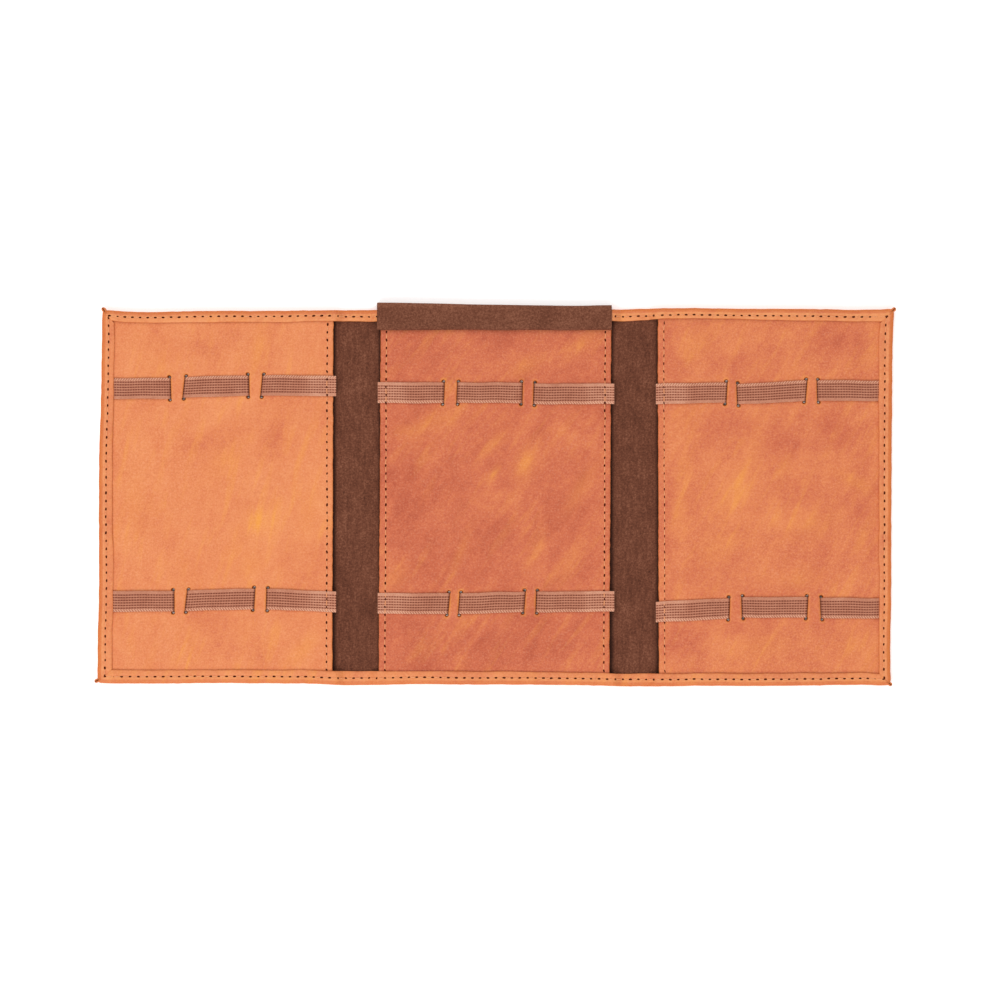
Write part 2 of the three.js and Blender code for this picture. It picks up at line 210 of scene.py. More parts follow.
SHARP_DEG = 50


def linked(name, data):
    """A new object in the scene."""
    made = bpy.data.objects.new(name, data)
    bpy.context.scene.collection.objects.link(made)
    return made


def make_mesh(name, points, faces, attributes=None):
    """A mesh object from points in mm. Each vertex keeps its own place at rest for the materials."""
    points = np.asarray(points, float)
    mesh = bpy.data.meshes.new(name)
    mesh.from_pydata((points * MM).tolist(), [], faces)
    rest = mesh.attributes.new("rest", "FLOAT_VECTOR", "POINT")
    rest.data.foreach_set("vector", points.astype(np.float32).ravel())
    for key, values in (attributes or {}).items():
        layer = mesh.attributes.new(key, "FLOAT", "POINT")
        layer.data.foreach_set("value", np.asarray(values, np.float32).ravel())
    work = bmesh.new()
    work.from_mesh(mesh)
    bmesh.ops.recalc_face_normals(work, faces=work.faces)
    work.to_mesh(mesh)
    work.free()
    mesh.polygons.foreach_set("use_smooth", [True] * len(mesh.polygons))
    mesh.set_sharp_from_angle(angle=math.radians(SHARP_DEG))
    mesh.update()
    return linked(name, mesh)


class Shell:
    """Gathers points, each known by a key and carrying some values, and the faces between them."""

    def __init__(self):
        self.index = {}
        self.points = []
        self.values = []
        self.faces = []

    def point(self, key, place, *values):
        if key not in self.index:
            self.index[key] = len(self.points)
            self.points.append(place)
            self.values.append(values)
        return self.index[key]

    def face(self, *corners):
        ring = [c for i, c in enumerate(corners) if c != corners[i - 1]]
        if len(ring) > 2:
            self.faces.append(tuple(ring))


def loft(sections):
    """Points and faces of a closed body through an array of (section, point, xyz) rings."""
    count, ring, _ = sections.shape
    faces = []
    for i in range(count - 1):
        for k in range(ring):
            a, b = i * ring + k, i * ring + (k + 1) % ring
            faces.append((a, b, b + ring, a + ring))
    faces.append(tuple(reversed(range(ring))))
    faces.append(tuple(range((count - 1) * ring, count * ring)))
    return sections.reshape(-1, 3), faces


def gathered(bodies):
    """Points and faces of many lofted bodies taken together, each given by its rings."""
    points, faces = [], []
    for rings in bodies:
        new_points, new_faces = loft(np.array(rings))
        faces += [tuple(len(points) + v for v in face) for face in new_faces]
        points += list(new_points)
    return np.array(points), faces


def grid_border(nx, ny):
    """The outermost places of a grid, in order round it."""
    border = [(i, 0) for i in range(nx)] + [(nx - 1, j) for j in range(1, ny)]
    return border + [(i, ny - 1) for i in range(nx - 2, -1, -1)] + [(0, j) for j in range(ny - 2, 0, -1)]


def walls(ring, under):
    """Faces between a ring of an upper layer and the same ring of a lower one, under points further on."""
    return [(a, under + a, under + b, b) for a, b in zip(ring, ring[1:] + ring[:1])]


def filled(lines, step_of):
    """Sorted places through every given line, filled in to no more than step_of(place) apart."""
    lines = sorted(set(round(float(v), 4) for v in lines))
    places = [lines[0]]
    for low, high in zip(lines[:-1], lines[1:]):
        count = max(1, math.ceil((high - low) / step_of((low + high) / 2) - 1e-6))
        places += list(np.linspace(low, high, count + 1)[1:])
    return np.array(places)


# ---------------------------------------------------------------- materials


def linear(red, green, blue):
    """A colour given as 0-255 sRGB, as the shader wants it."""
    def one(value):
        value /= 255.0
        return value / 12.92 if value <= 0.04045 else ((value + 0.055) / 1.055) ** 2.4
    return (one(red), one(green), one(blue), 1.0)


class Graph:
    """A material's nodes, with short calls for the few kinds used here."""

    def __init__(self, name):
        self.material = bpy.data.materials.new(name)
        self.material.use_nodes = True
        self.nodes = self.material.node_tree.nodes
        self.links = self.material.node_tree.links
        self.nodes.clear()
        self.shader = self.nodes.new("ShaderNodeBsdfPrincipled")
        self.node("ShaderNodeOutputMaterial", Surface=self.shader.outputs[0])

    def set(self, **sources):
        """Feeds the shader's own sockets by name, from other nodes or with plain values."""
        self.feed_all(self.shader, sources)

    def feed(self, socket, source):
        if hasattr(source, "node"):
            self.links.new(source, socket)
        else:
            socket.default_value = source

    def feed_all(self, node, sources):
        for name, source in sources.items():
            self.feed(node.inputs[name.replace("_", " ")], source)

    def node(self, kind, **sources):
        """A new node with its inputs fed by name."""
        node = self.nodes.new(kind)
        self.feed_all(node, sources)
        return node

    def attribute(self, name, output="Fac"):
        """A value kept at the points of the mesh."""
        node = self.nodes.new("ShaderNodeAttribute")
        node.attribute_name = name
        return node.outputs[output]

    def moved(self, vector, operation, by):
        """A vector with the same vector added to it or multiplied into it."""
        node = self.nodes.new("ShaderNodeVectorMath")
        node.operation = operation
        self.links.new(vector, node.inputs[0])
        node.inputs[1].default_value = by
        return node.outputs[0]

    def rest(self, scale=(1.0, 1.0, 1.0), offset=(0.0, 0.0, 0.0)):
        """The point's place at rest in mm, shifted and then scaled along each axis."""
        return self.moved(self.moved(self.attribute("rest", "Vector"), "ADD", offset), "MULTIPLY", scale)

    def turned(self, vector, degrees):
        """A vector turned about the vertical."""
        node = self.nodes.new("ShaderNodeVectorRotate")
        node.rotation_type = "Z_AXIS"
        self.links.new(vector, node.inputs["Vector"])
        node.inputs["Angle"].default_value = math.radians(degrees)
        return node.outputs[0]

    def object_place(self):
        """The point's place in mm on a piece that keeps its CAD mesh."""
        where = self.nodes.new("ShaderNodeTexCoord")
        return self.moved(where.outputs["Object"], "MULTIPLY", (1 / MM,) * 3)

    def from_middle(self):
        """How far the point is from the middle of its piece, left to right: 0.5 at either side."""
        where = self.nodes.new("ShaderNodeTexCoord")
        parts = self.node("ShaderNodeSeparateXYZ", Vector=where.outputs["Generated"])
        return self.math("ABSOLUTE", self.math("SUBTRACT", parts.outputs["X"], 0.5))

    def noise(self, vector, size, detail=2.0, rough=0.5, distortion=0.0):
        """Noise from 0 to 1 with features about size mm across."""
        node = self.node(
            "ShaderNodeTexNoise",
            Vector=vector, Scale=1.0 / size, Detail=detail, Roughness=rough, Distortion=distortion,
        )
        return node.outputs["Fac"]

    def cells(self, vector, size):
        """Rounded cells about size mm across: 0 at their middles."""
        node = self.nodes.new("ShaderNodeTexVoronoi")
        node.feature = "SMOOTH_F1"
        self.feed_all(node, {"Vector": vector, "Scale": 1.0 / size})
        return node.outputs["Distance"]

    def math(self, operation, a, b=0.0, c=None, clamp=False):
        node = self.nodes.new("ShaderNodeMath")
        node.operation = operation
        node.use_clamp = clamp
        for socket, source in zip(node.inputs, (a, b) if c is None else (a, b, c)):
            self.feed(socket, source)
        return node.outputs[0]

    def ramp(self, source, stops):
        node = self.nodes.new("ShaderNodeValToRGB")
        self.links.new(source, node.inputs["Fac"])
        elements = node.color_ramp.elements
        while len(elements) < len(stops):
            elements.new(0.5)
        for element, (place, colour) in zip(elements, stops):
            element.position = place
            element.color = colour
        return node.outputs["Color"]

    def mix(self, factor, a, b):
        """Colour a, turning to colour b as the factor goes from 0 to 1."""
        node = self.nodes.new("ShaderNodeMix")
        node.data_type = "RGBA"
        for index, source in ((0, factor), (6, a), (7, b)):
            self.feed(node.inputs[index], source)
        return node.outputs[2]

    def spread(self, source, low, high, to_low=0.0, to_high=1.0):
        """The source's range from low to high, spread over another one."""
        node = self.node(
            "ShaderNodeMapRange",
            Value=source, From_Min=low, From_Max=high, To_Min=to_low, To_Max=to_high,
        )
        return node.outputs["Result"]

    def swayed(self, base, source, amount, reach=0.2, clamp=False):
        """The base moved by up to the amount either way, as the source goes reach below or above 0.5."""
        sway = self.spread(source, 0.5 - reach, 0.5 + reach, -amount, amount)
        return self.math("ADD", base, sway, clamp=clamp)

    def relief(self, height, distance_mm, strength):
        """Raises the surface by a height from 0 to 1."""
        node = self.node("ShaderNodeBump", Strength=strength, Distance=distance_mm * MM, Height=height)
        self.set(Normal=node.outputs[0])


DEEP_RUST = linear(184, 84, 54)
RUST = linear(205, 104, 68)
ORANGE = linear(223, 128, 78)
LIGHT_ORANGE = linear(234, 146, 92)
GOLD = linear(238, 154, 64)
RIM_ORANGE = linear(210, 110, 38)
PINK_TAN = linear(238, 159, 102)
IN_THE_DARK = linear(84, 34, 18)
GRAIN_LIGHT = linear(255, 208, 172)


def leather(name, middle, wisp_lean, wisp_strength, seed=0.0):
    """Waxed pull-up leather: clouds from rust to light orange, leaning wisps of gold where it was
    stretched, a fine grain and a dull sheen."""
    g = Graph(name)
    at = g.rest(offset=(seed, seed * 0.7, 0.0))
    leaning = g.turned(at, -wisp_lean)
    clouds = g.noise(at, 40, detail=3.0, rough=0.55, distortion=0.9)
    drifts = g.noise(g.moved(leaning, "MULTIPLY", (0.45, 1.0, 1.0)), 12, detail=4.0, distortion=0.8)
    wisps = g.noise(g.moved(leaning, "MULTIPLY", (0.16, 1.0, 1.0)), 4.5, detail=3.0, distortion=0.5)
    mottle = g.noise(at, 3.4, detail=3.0, rough=0.6)
    speckle = g.noise(at, 1.3, detail=4.0, rough=0.8)
    pores = g.noise(at, 0.6, detail=2.0, rough=0.7)
    fine = g.noise(at, 0.9, detail=3.0, rough=0.7)
    creases = g.noise(at, 2.4, detail=5.0, rough=0.65, distortion=0.6)

    tone = g.math("MULTIPLY_ADD", g.attribute("tone"), 0.3, middle)
    tone = g.swayed(tone, clouds, 0.13, reach=0.25)
    tone = g.swayed(tone, drifts, 0.15, reach=0.25)
    tone = g.swayed(tone, mottle, 0.07)
    tone = g.swayed(tone, pores, 0.08)
    tone = g.swayed(tone, speckle, 0.14, clamp=True)
    colour = g.ramp(tone, [(0.0, DEEP_RUST), (0.3, RUST), (0.62, ORANGE), (1.0, LIGHT_ORANGE)])

    wisps = g.math("MULTIPLY", g.spread(wisps, 0.5, 0.78), g.spread(clouds, 0.35, 0.6))
    gold = g.math("MULTIPLY", g.attribute("gold"), g.math("MULTIPLY_ADD", wisps, 0.6, 0.36))
    gold = g.math("MULTIPLY_ADD", wisps, wisp_strength, gold, clamp=True)
    pale = g.spread(g.noise(at, 2.2, detail=4.0, rough=0.7), 0.3, 0.7, 0.1, 0.85)
    for share, over in (
        (gold, GOLD),
        (g.spread(fine, 0.5, 0.7, 0.0, 0.14), GRAIN_LIGHT),
        (g.spread(fine, 0.3, 0.5, 0.13, 0.0), IN_THE_DARK),
        (g.math("MULTIPLY", pale, g.attribute("lip")), PINK_TAN),
        (g.attribute("rim"), RIM_ORANGE),
        (g.attribute("shade"), IN_THE_DARK),
    ):
        colour = g.mix(share, colour, over)
    g.relief(g.math("MULTIPLY_ADD", g.cells(at, 0.75), 0.6, g.math("MULTIPLY", creases, 0.7)), 0.16, 0.7)
    dullness = g.spread(g.noise(at, 9, detail=4.0), 0.3, 0.7, 0.5, 0.66)
    g.set(Base_Color=colour, Roughness=dullness, Specular_IOR_Level=0.32)
    return g.material


def microfibre():
    """Brushed microfibre suede: a short nap that leans here and there."""
    g = Graph("microfibre")
    at = g.rest()
    nap = g.noise(at, 0.85, detail=4.0, rough=0.8)
    clouds = g.noise(at, 16, detail=3.0, distortion=0.5)
    brushed = g.noise(g.rest((1.0, 0.16, 1.0)), 1.7, detail=3.0, rough=0.6)
    tone = g.swayed(g.spread(nap, 0.3, 0.7, 0.13, 0.79), clouds, 0.08)
    streaks = g.math("MULTIPLY", g.spread(brushed, 0.3, 0.7, -0.11, 0.11), g.attribute("streaks"))
    tone = g.math("ADD", tone, streaks)
    # The attribute added here lightens the tone: on the flap partly its own lighter colour, partly painted
    # sheen along its top fold.
    tone = g.math("ADD", tone, g.attribute("lift_and_painted_sheen"), clamp=True)
    dark, middle, light = linear(66, 34, 24), linear(110, 64, 46), linear(158, 104, 80)
    colour = g.ramp(tone, [(0.0, dark), (0.5, middle), (1.0, light)])
    g.relief(g.math("ADD", nap, g.math("MULTIPLY", brushed, 0.4)), 0.2, 0.9)
    g.set(Base_Color=g.mix(g.attribute("shade"), colour, linear(34, 16, 12)))
    g.set(Roughness=0.95, Specular_IOR_Level=0.15)
    g.set(Sheen_Weight=0.12, Sheen_Roughness=0.45, Sheen_Tint=linear(190, 140, 115))
    return g.material


ELASTIC_ROWS = 8
WEAVE_PITCH = 1.32


def elastic():
    """Woven elastic: pale cords with rows of dark dashes between them, and flecked selvedges."""
    g = Graph("elastic")
    across = g.attribute("across")
    row = g.math("MULTIPLY", across, ELASTIC_ROWS)
    step = g.math("DIVIDE", g.attribute("along"), WEAVE_PITCH)
    dash = g.spread(g.math("PINGPONG", step, 0.5), 0.14, 0.26)
    valley = g.spread(g.math("PINGPONG", row, 0.5), 0.14, 0.36)
    above_flecks = g.spread(across, 0.11, 0.13)
    middle_rows = g.math("MULTIPLY", above_flecks, g.spread(across, 0.86, 0.88, 1.0, 0.0))
    dark = g.math("MULTIPLY", valley, middle_rows)
    dark = g.math("MULTIPLY", dark, g.math("MULTIPLY_ADD", dash, 0.6, 0.4))
    slanted = g.math("ADD", step, g.math("MULTIPLY", row, 0.8))
    fleck = g.spread(g.math("PINGPONG", slanted, 0.5), 0.2, 0.4, -0.5, 1.0)
    fleck = g.math("MULTIPLY", fleck, g.math("SUBTRACT", 1.0, above_flecks))
    yarn = g.noise(g.rest((0.6, 1.0, 1.0)), 0.45, detail=3.0, rough=0.75)
    light = g.math("SUBTRACT", 0.62, g.math("MULTIPLY", dark, 0.72))
    light = g.math("ADD", light, g.math("MULTIPLY", fleck, 0.34))
    light = g.swayed(light, g.noise(g.rest(), 6.0), 0.06)
    light = g.math("MULTIPLY_ADD", g.attribute("slack"), 0.14, light)
    light = g.swayed(light, yarn, 0.16, clamp=True)
    colour = g.ramp(light, [
        (0.0, linear(120, 64, 46)), (0.35, linear(166, 100, 77)), (0.65, linear(195, 131, 104)),
        (1.0, linear(226, 171, 142)),
    ])
    g.relief(g.math("SUBTRACT", yarn, g.math("MULTIPLY", dark, 0.5)), 0.12, 0.8)
    g.set(Base_Color=g.mix(g.attribute("shade"), colour, linear(60, 30, 22)))
    g.set(Roughness=0.86, Specular_IOR_Level=0.2)
    return g.material


def thread():
    """Twisted waxed thread."""
    g = Graph("thread")
    twist = g.noise(g.rest(), 0.3)
    colour = g.ramp(twist, [(0.3, linear(216, 134, 84)), (0.7, linear(244, 176, 126))])
    g.relief(twist, 0.06, 0.7)
    g.set(Base_Color=colour, Roughness=0.6, Specular_IOR_Level=0.3)
    return g.material


def stitch_hole_shade():
    """Painted shade of a hole punched by the sewing needle: a flat oval coloured dark where the hole's
    shadow is.
    """
    g = Graph("stitch_hole_shade")
    colour = g.ramp(g.noise(g.rest(), 0.6), [(0.3, linear(58, 18, 8)), (0.7, linear(92, 36, 18))])
    g.set(Base_Color=colour, Roughness=1.0, Specular_IOR_Level=0.0)
    return g.material


def board():
    """Pale pressed fibre board, with painted shade: a dark brown strip along its left and right edges
    stands in for the shadow line where a panel's raw edge steps down into a spine.
    """
    g = Graph("board")
    fibre = g.noise(g.object_place(), 0.8, detail=4.0, rough=0.7)
    pale = g.ramp(fibre, [(0.3, linear(222, 212, 200)), (0.7, linear(240, 234, 226))])
    # painted shade: the outermost strip at each side edge turns dark brown, for the shadow along the spines
    colour = g.mix(g.spread(g.from_middle(), 0.484, 0.487), pale, linear(60, 31, 22))
    g.relief(fibre, 0.08, 0.5)
    g.set(Base_Color=colour, Roughness=0.9, Specular_IOR_Level=0.2)
    return g.material


def floor_paper():
    """Plain white paper on a light table."""
    g = Graph("floor")
    clouds = g.noise(g.object_place(), 90)
    g.set(Base_Color=g.ramp(clouds, [(0.0, linear(250, 250, 250)), (1.0, linear(253, 253, 253))]))
    g.set(Roughness=0.9, Specular_IOR_Level=0.1, Emission_Strength=FLOOR_GLOW)
    g.set(Emission_Color=(1.0, 1.0, 1.0, 1.0))
    return g.material


MATERIALS = {
    "cover": leather("cover_leather", 0.54, 70.0, 0.42),
    "left": leather("panel_leather_left", 0.72, 75.0, 0.5, seed=31.0),
    "centre": leather("panel_leather_centre", 0.3, 56.0, 0.32, seed=87.0),
    "right": leather("panel_leather_right", 0.48, 63.0, 0.42, seed=143.0),
    "microfibre": microfibre(),
    "elastic": elastic(),
    "thread": thread(),
    "hole": stitch_hole_shade(),
    "board": board(),
}


def dress(piece, material):
    """Gives a piece its material."""
    piece.data.materials.append(MATERIALS[material])


def path_length(path):
    return float(np.linalg.norm(np.diff(path, axis=0), axis=1).sum())


# ---------------------------------------------------------------- the four parts of the case, and baking pieces in place

# Whatever crosses a fold line is cut halfway between the lines. For each of the four parts: where it
# starts and stops, its two bodies from left to right, and the fold line between them.
QUARTERS = {
    "left": (-HALF_WIDTH, -MID_SPINE, "left_panel", "left_spine", -OUTER_FOLD),
    "centre_left": (-MID_SPINE, 0.0, "left_spine", "centre", -INNER_FOLD),
    "centre_right": (0.0, MID_SPINE, "centre", "right_spine", INNER_FOLD),
    "right": (MID_SPINE, HALF_WIDTH, "right_spine", "right_panel", OUTER_FOLD),
}


def quarter_at(x):
    """The part of the case at a place across it."""
    return next((quarter for quarter, (_, high, *_) in QUARTERS.items() if x < high), "right")


def bend_quarter(piece, quarter):
    """Bakes a piece's place into its mesh, for one part of the case."""
    _, _, first, second, fold = QUARTERS[quarter]
    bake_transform(piece)


# ---------------------------------------------------------------- the cover

# The stations along each side lean over within this distance of a corner, to meet on its diagonal.
FAN = 12.0
FAN_STEPS = (0.0, 0.35, 0.8, 1.4, 2.2, 3.3, 4.8, 6.8, 9.2)
RING_DEPTH = 10.0
STEP = 3.0
FINE_STEP = 0.5
FOLD_MARGIN = 3.5
EDGE_ROUND = 1.9
EDGE_SQUARENESS = 0.75
HEM_THICKNESS = 0.9
HEM_LIP = 0.3
STITCH_DIP = 0.16
MITRE_DIP = 0.18
SIDES_ALONG_X = ("top", "bottom")

# How wide the turned-in hem is, and how far in its stitches run, along each side of the case.
HEM_WIDTHS = {
    "top": ([-198, -150, -100, -75, -62, 62, 85, 120, 198], [5.6, 5.8, 5.9, 5.6, 5.8, 5.9, 5.2, 5.4, 6.2]),
    "bottom": ([-198, -100, 0, 100, 198], [7.0, 6.9, 6.5, 6.2, 5.9]),
    "left": ([-93, 0, 93], [7.3, 6.9, 6.5]),
    "right": ([-93, 0, 93], [5.9, 6.5, 7.1]),
}
STITCH_INSETS = {
    "top": ([-198, -88, -78, -62, 62, 80, 92, 198], [3.0, 2.9, 3.2, 3.5, 3.6, 3.6, 3.4, 3.8]),
    "bottom": ([-198, 0, 198], [3.6, 3.5, 3.3]),
    "left": ([-93, 93], [4.0, 3.6]),
    "right": ([-93, 93], [3.6, 4.1]),
}
HEM_EDGE_WOBBLE = Waves(21, 12, 60)
HEM_WOBBLE_HEIGHT = 0.12
HEM_SWELL = Waves(22, 14, 50)
# How far the hem slopes down from a panel's edge into a spine: where the slope starts and ends.
HEM_SLOPE = (0.2, 5.6)


def hem_width(side, along):
    wobble = HEM_EDGE_WOBBLE(along, 17.0 * len(side))
    return np.interp(along, *HEM_WIDTHS[side]) + HEM_WOBBLE_HEIGHT * wobble


def stitch_inset(side, along):
    return np.interp(along, *STITCH_INSETS[side])


def hem_top(side, along):
    """The height of the hem's upper face: high over the boards, low over the spines."""
    if side not in SIDES_ALONG_X:
        return np.full(np.shape(along), SIDE_HEM_TOP)
    x = np.abs(np.asarray(along, float))
    over_centre = FLAP_HEM_TOP if side == "top" else SIDE_HEM_TOP
    starts, ends = HEM_SLOPE
    down = between(x, CENTRE_EDGE + starts, CENTRE_EDGE + ends)
    up = between(x, SIDE_EDGE - ends, SIDE_EDGE - starts)
    centre = over_centre + (SPINE_HEM_TOP - over_centre) * down
    outer = SPINE_HEM_TOP + (SIDE_HEM_TOP - SPINE_HEM_TOP) * up
    return np.where(x < MID_SPINE, centre, outer)


def lip_height(side, along, depth):
    """The height of the hem's upper face at a depth in from the outer edge."""
    width, inset = hem_width(side, along), stitch_inset(side, along)
    dip = STITCH_DIP * bump(depth, inset, 0.8)
    outer_ridge = 0.1 * bump(depth, (inset + EDGE_ROUND) / 2, 0.9)
    inner_ridge = 0.12 * bump(depth, (inset + width) / 2, 1.0)
    swell = 0.1 * HEM_SWELL(along, depth * 2.0) * between(depth, 1.0, 2.5)
    return hem_top(side, along) - dip + outer_ridge + inner_ridge + swell


# How the colour changes from the hem's outer edge inwards, on each side: the strength of the raw rim,
# how much of it fades over the rounding, what is left beyond that and how far in, where the pale
# stretched leather starts, and how much of the paleness is lost again inside the seam.
# The rim is partly the cut edge's own deeper orange and partly painted light: it is set weaker on the
# bottom, as a painted highlight where the lamps light that edge, and stronger at the left and right, as
# painted shade on the rounded edge.
HEM_LOOK = {
    "top": (0.9, 0.8, 0.1, 2.0, 0.9, 0.1),
    "bottom": (0.6, 0.35, 0.3, 2.9, 1.1, 0.6),
    "left": (1.0, 0.7, 0.2, 2.2, 0.9, 0.6),
    "right": (1.0, 0.65, 0.2, 2.2, 0.9, 0.5),
}


def ring_profile(side, along):
    """Depth, height, rim and lip, each (station, point), round the edge: from the back, over the outer
    edge and the lip, and back underneath to the inside of the cover."""
    strong, fade, rim_left, rim_ends, pale_from, dimmed = HEM_LOOK[side]
    width, top = hem_width(side, along), hem_top(side, along)
    flat = np.zeros_like(top)
    points = [(flat + depth, flat, 0.0, 0.0) for depth in (RING_DEPTH, 6.5, 4.0, 2.8)]
    for degrees in range(-90, 91, 15):
        cos = max(math.cos(math.radians(degrees)), 0.0) ** EDGE_SQUARENESS
        sin = math.sin(math.radians(degrees))
        sin = math.copysign(abs(sin) ** EDGE_SQUARENESS, sin)
        depth = EDGE_ROUND * (1 - cos)
        points.append((flat + depth, top / 2 * (1 + sin), strong - fade * between(depth, 0.4, 1.7), 0.0))
    for share in np.arange(0.1, 1.01, 0.1):
        depth = EDGE_ROUND + share * (width - HEM_LIP - EDGE_ROUND)
        z = lip_height(side, along, depth) - 0.08 * (share > 0.99)
        rim = rim_left * (1 - between(depth, 1.7, rim_ends))
        pale = between(depth, pale_from, pale_from + 1.4) * (1 - dimmed * between(depth, 2.7, 4.0))
        points.append((depth, z, rim, pale))
    low, inside = top - HEM_THICKNESS, flat + COVER_THICKNESS
    points += [
        (width, top - HEM_LIP, 0.5, 0.3), (width, low + 0.15, 0.6, 0.0), (width - HEM_LIP, low, 0.5, 0.0),
        (flat + EDGE_ROUND + 0.4, low, 0.0, 0.0), (flat + 1.3, low - 0.15, 0.0, 0.0),
        (flat + 1.3, inside + 0.15, 0.0, 0.0), (flat + 1.7, inside, 0.0, 0.0),
        (flat + RING_DEPTH, inside, 0.0, 0.0),
    ]
    return [np.stack([flat + point[i] for point in points], axis=1) for i in range(4)]


def cover_stations(half, hinged):
    """Places along a side, fanned out at the corners and close together where the cover bends."""
    lines = [side * (half - step) for side in (-1, 1) for step in (*FAN_STEPS, FAN)] + [0.0]
    if hinged:
        places = (CENTRE_EDGE - FOLD_MARGIN, MID_SPINE, SIDE_EDGE + FOLD_MARGIN)
        lines += [side * place for side in (-1, 1) for place in places]

    def step_of(place):
        fine = hinged and CENTRE_EDGE - FOLD_MARGIN < abs(place) < SIDE_EDGE + FOLD_MARGIN
        return FINE_STEP if fine else STEP

    return filled(lines, step_of)


def fan_shift(half, along, depth):
    """How far a station leans towards the corner's diagonal, at a depth in from the edge."""
    share = np.maximum(0.0, 1 - (half - np.abs(along)) / FAN)
    return -np.sign(along) * share * depth


# The points of a hem's ring that lie in its mitre at a corner: all those on the outer edge and lip.
IN_MITRE = range(11, 28)


def hem_rings(xs, ys):
    """For each side and station, the ring of points round the edge: key, place, rim and lip of each."""
    last_x, last_y = len(xs) - 1, len(ys) - 1
    spots = {
        "top": [(i, last_y) for i in range(last_x + 1)],
        "bottom": [(i, 0) for i in range(last_x + 1)],
        "left": [(0, j) for j in range(last_y + 1)],
        "right": [(last_x, j) for j in range(last_y + 1)],
    }
    corners = {(i, j) for i in (0, last_x) for j in (0, last_y)}
    rings = {}
    for side, side_spots in spots.items():
        along, half, reach = (ys, HALF_HEIGHT, HALF_WIDTH)
        if side in SIDES_ALONG_X:
            along, half, reach = (xs, HALF_WIDTH, HALF_HEIGHT)
        depth, z, rim, lip = ring_profile(side, along)
        lean = along[:, None] + fan_shift(half, along[:, None], depth)
        across = (-1 if side in ("bottom", "left") else 1) * (reach - depth)
        x, y = (lean, across) if side in SIDES_ALONG_X else (across, lean)
        last = depth.shape[1] - 1
        for n, spot in enumerate(side_spots):
            keys = [("back", spot), *[(spot, k) for k in range(1, last)], ("inner", spot)]
            dips = [MITRE_DIP * (spot in corners and k in IN_MITRE) for k in range(last + 1)]
            rings[side, n] = [
                (key, (x[n, k], y[n, k], z[n, k] - dips[k]), rim[n, k], lip[n, k])
                for k, key in enumerate(keys)
            ]
    return rings


def build_cover():
    xs, ys = cover_stations(HALF_WIDTH, True), cover_stations(HALF_HEIGHT, False)
    last_x, last_y = len(xs) - 1, len(ys) - 1
    rings = hem_rings(xs, ys)
    grid_x = xs + fan_shift(HALF_WIDTH, xs, RING_DEPTH)
    grid_y = ys + fan_shift(HALF_HEIGHT, ys, RING_DEPTH)
    layers = {"back": 0.0, "inner": COVER_THICKNESS}
    shells = {quarter: Shell() for quarter in QUARTERS}

    def plate(quarter, layer, i, j):
        place = (grid_x[i], grid_y[j], layers[layer])
        return shells[quarter].point((layer, (i, j)), place, 0.0, 0.0)

    def strip(quarter, side, n):
        shell = shells[quarter]
        near, far = ([shell.point(*entry) for entry in rings[side, m]] for m in (n, n + 1))
        for k in range(len(near) - 1):
            shell.face(near[k], near[k + 1], far[k + 1], far[k])

    for i in range(last_x):
        quarter = quarter_at((xs[i] + xs[i + 1]) / 2)
        strip(quarter, "bottom", i)
        strip(quarter, "top", i)
        for j in range(last_y):
            square = ((i, j), (i + 1, j), (i + 1, j + 1), (i, j + 1))
            for layer in layers:
                shells[quarter].face(*[plate(quarter, layer, *spot) for spot in square])
    for j in range(last_y):
        strip("left", "left", j)
        strip("right", "right", j)

    # each cut through the cover is closed, so that every part is one closed body
    for quarter, (low, high, *_) in QUARTERS.items():
        shell = shells[quarter]
        for cut in (low, high):
            if abs(cut) == HALF_WIDTH:
                continue
            i = int(np.argmin(np.abs(xs - cut)))
            loop = [shell.point(*entry) for entry in rings["bottom", i]]
            loop += [plate(quarter, "inner", i, j) for j in range(1, last_y)]
            loop += [shell.point(*entry) for entry in reversed(rings["top", i])]
            loop += [plate(quarter, "back", i, j) for j in range(last_y - 1, 0, -1)]
            shell.faces.append(tuple(loop))
    for quarter, shell in shells.items():
        finish_cover(quarter, shell)


# The nodes of the cover that each part of it takes the place of.
COVER_NODES = {
    "left": ["cover_left"],
    "centre_left": ["cover_left_spine", "cover_centre"],
    "centre_right": ["cover_centre"],
    "right": ["cover_right_spine", "cover_right"],
}


def finish_cover(quarter, shell):
    """Makes one part of the cover from its points and faces."""
    low, high = QUARTERS[quarter][:2]
    rim, lip = np.array(shell.values).T
    x, y = np.abs(np.array(shell.points))[:, :2].T
    gold = 0.4 * lip * (HALF_HEIGHT - y < HALF_WIDTH - x)
    values = {"rim": rim, "lip": lip, "gold": gold}
    piece = make_mesh(f"leather_cover_{quarter}", placed(shell.points), shell.faces, values)
    dress(piece, "cover")
    bend_quarter(piece, quarter)
    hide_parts(*COVER_NODES[quarter])


# At each corner the hem's leather is pinched together into a small upright fold with a crease along
# its top: which corner, the middle of its tip beyond the rounded corner, the way it points, its length.
CORNER_FOLDS = {
    "left_top": (-1, 1, (0.2, 0.9), (-0.51, 0.86), 4.6),
    "right_top": (1, 1, (0.45, 0.15), (0.7, 0.71), 4.6),
    "left_bottom": (-1, -1, (-0.75, 0.55), (-0.88, -0.48), 3.2),
    "right_bottom": (1, -1, (0.4, 0.2), (0.8, -0.6), 4.3),
}
FOLD_TIP = 1.0
FOLD_INNER = 0.55
FOLD_PROUD = 0.14
FOLD_LEAST = 0.05
CREASE_DEPTH = 0.5
CREASE_WIDTH = 0.2
CREASE_SHADE = 0.95
CREASE_SHADE_WIDTH = 0.26
TIP_ANGLES = (20, 40, 55, 70, 82, 90)
OVER_FOLD = (-1, -0.85, -0.55, -0.3, -0.15, 0, 0.15, 0.3, 0.55, 0.85, 1)
UNDER_FOLD = (0.9, 0.45, 0.0, -0.45, -0.9)


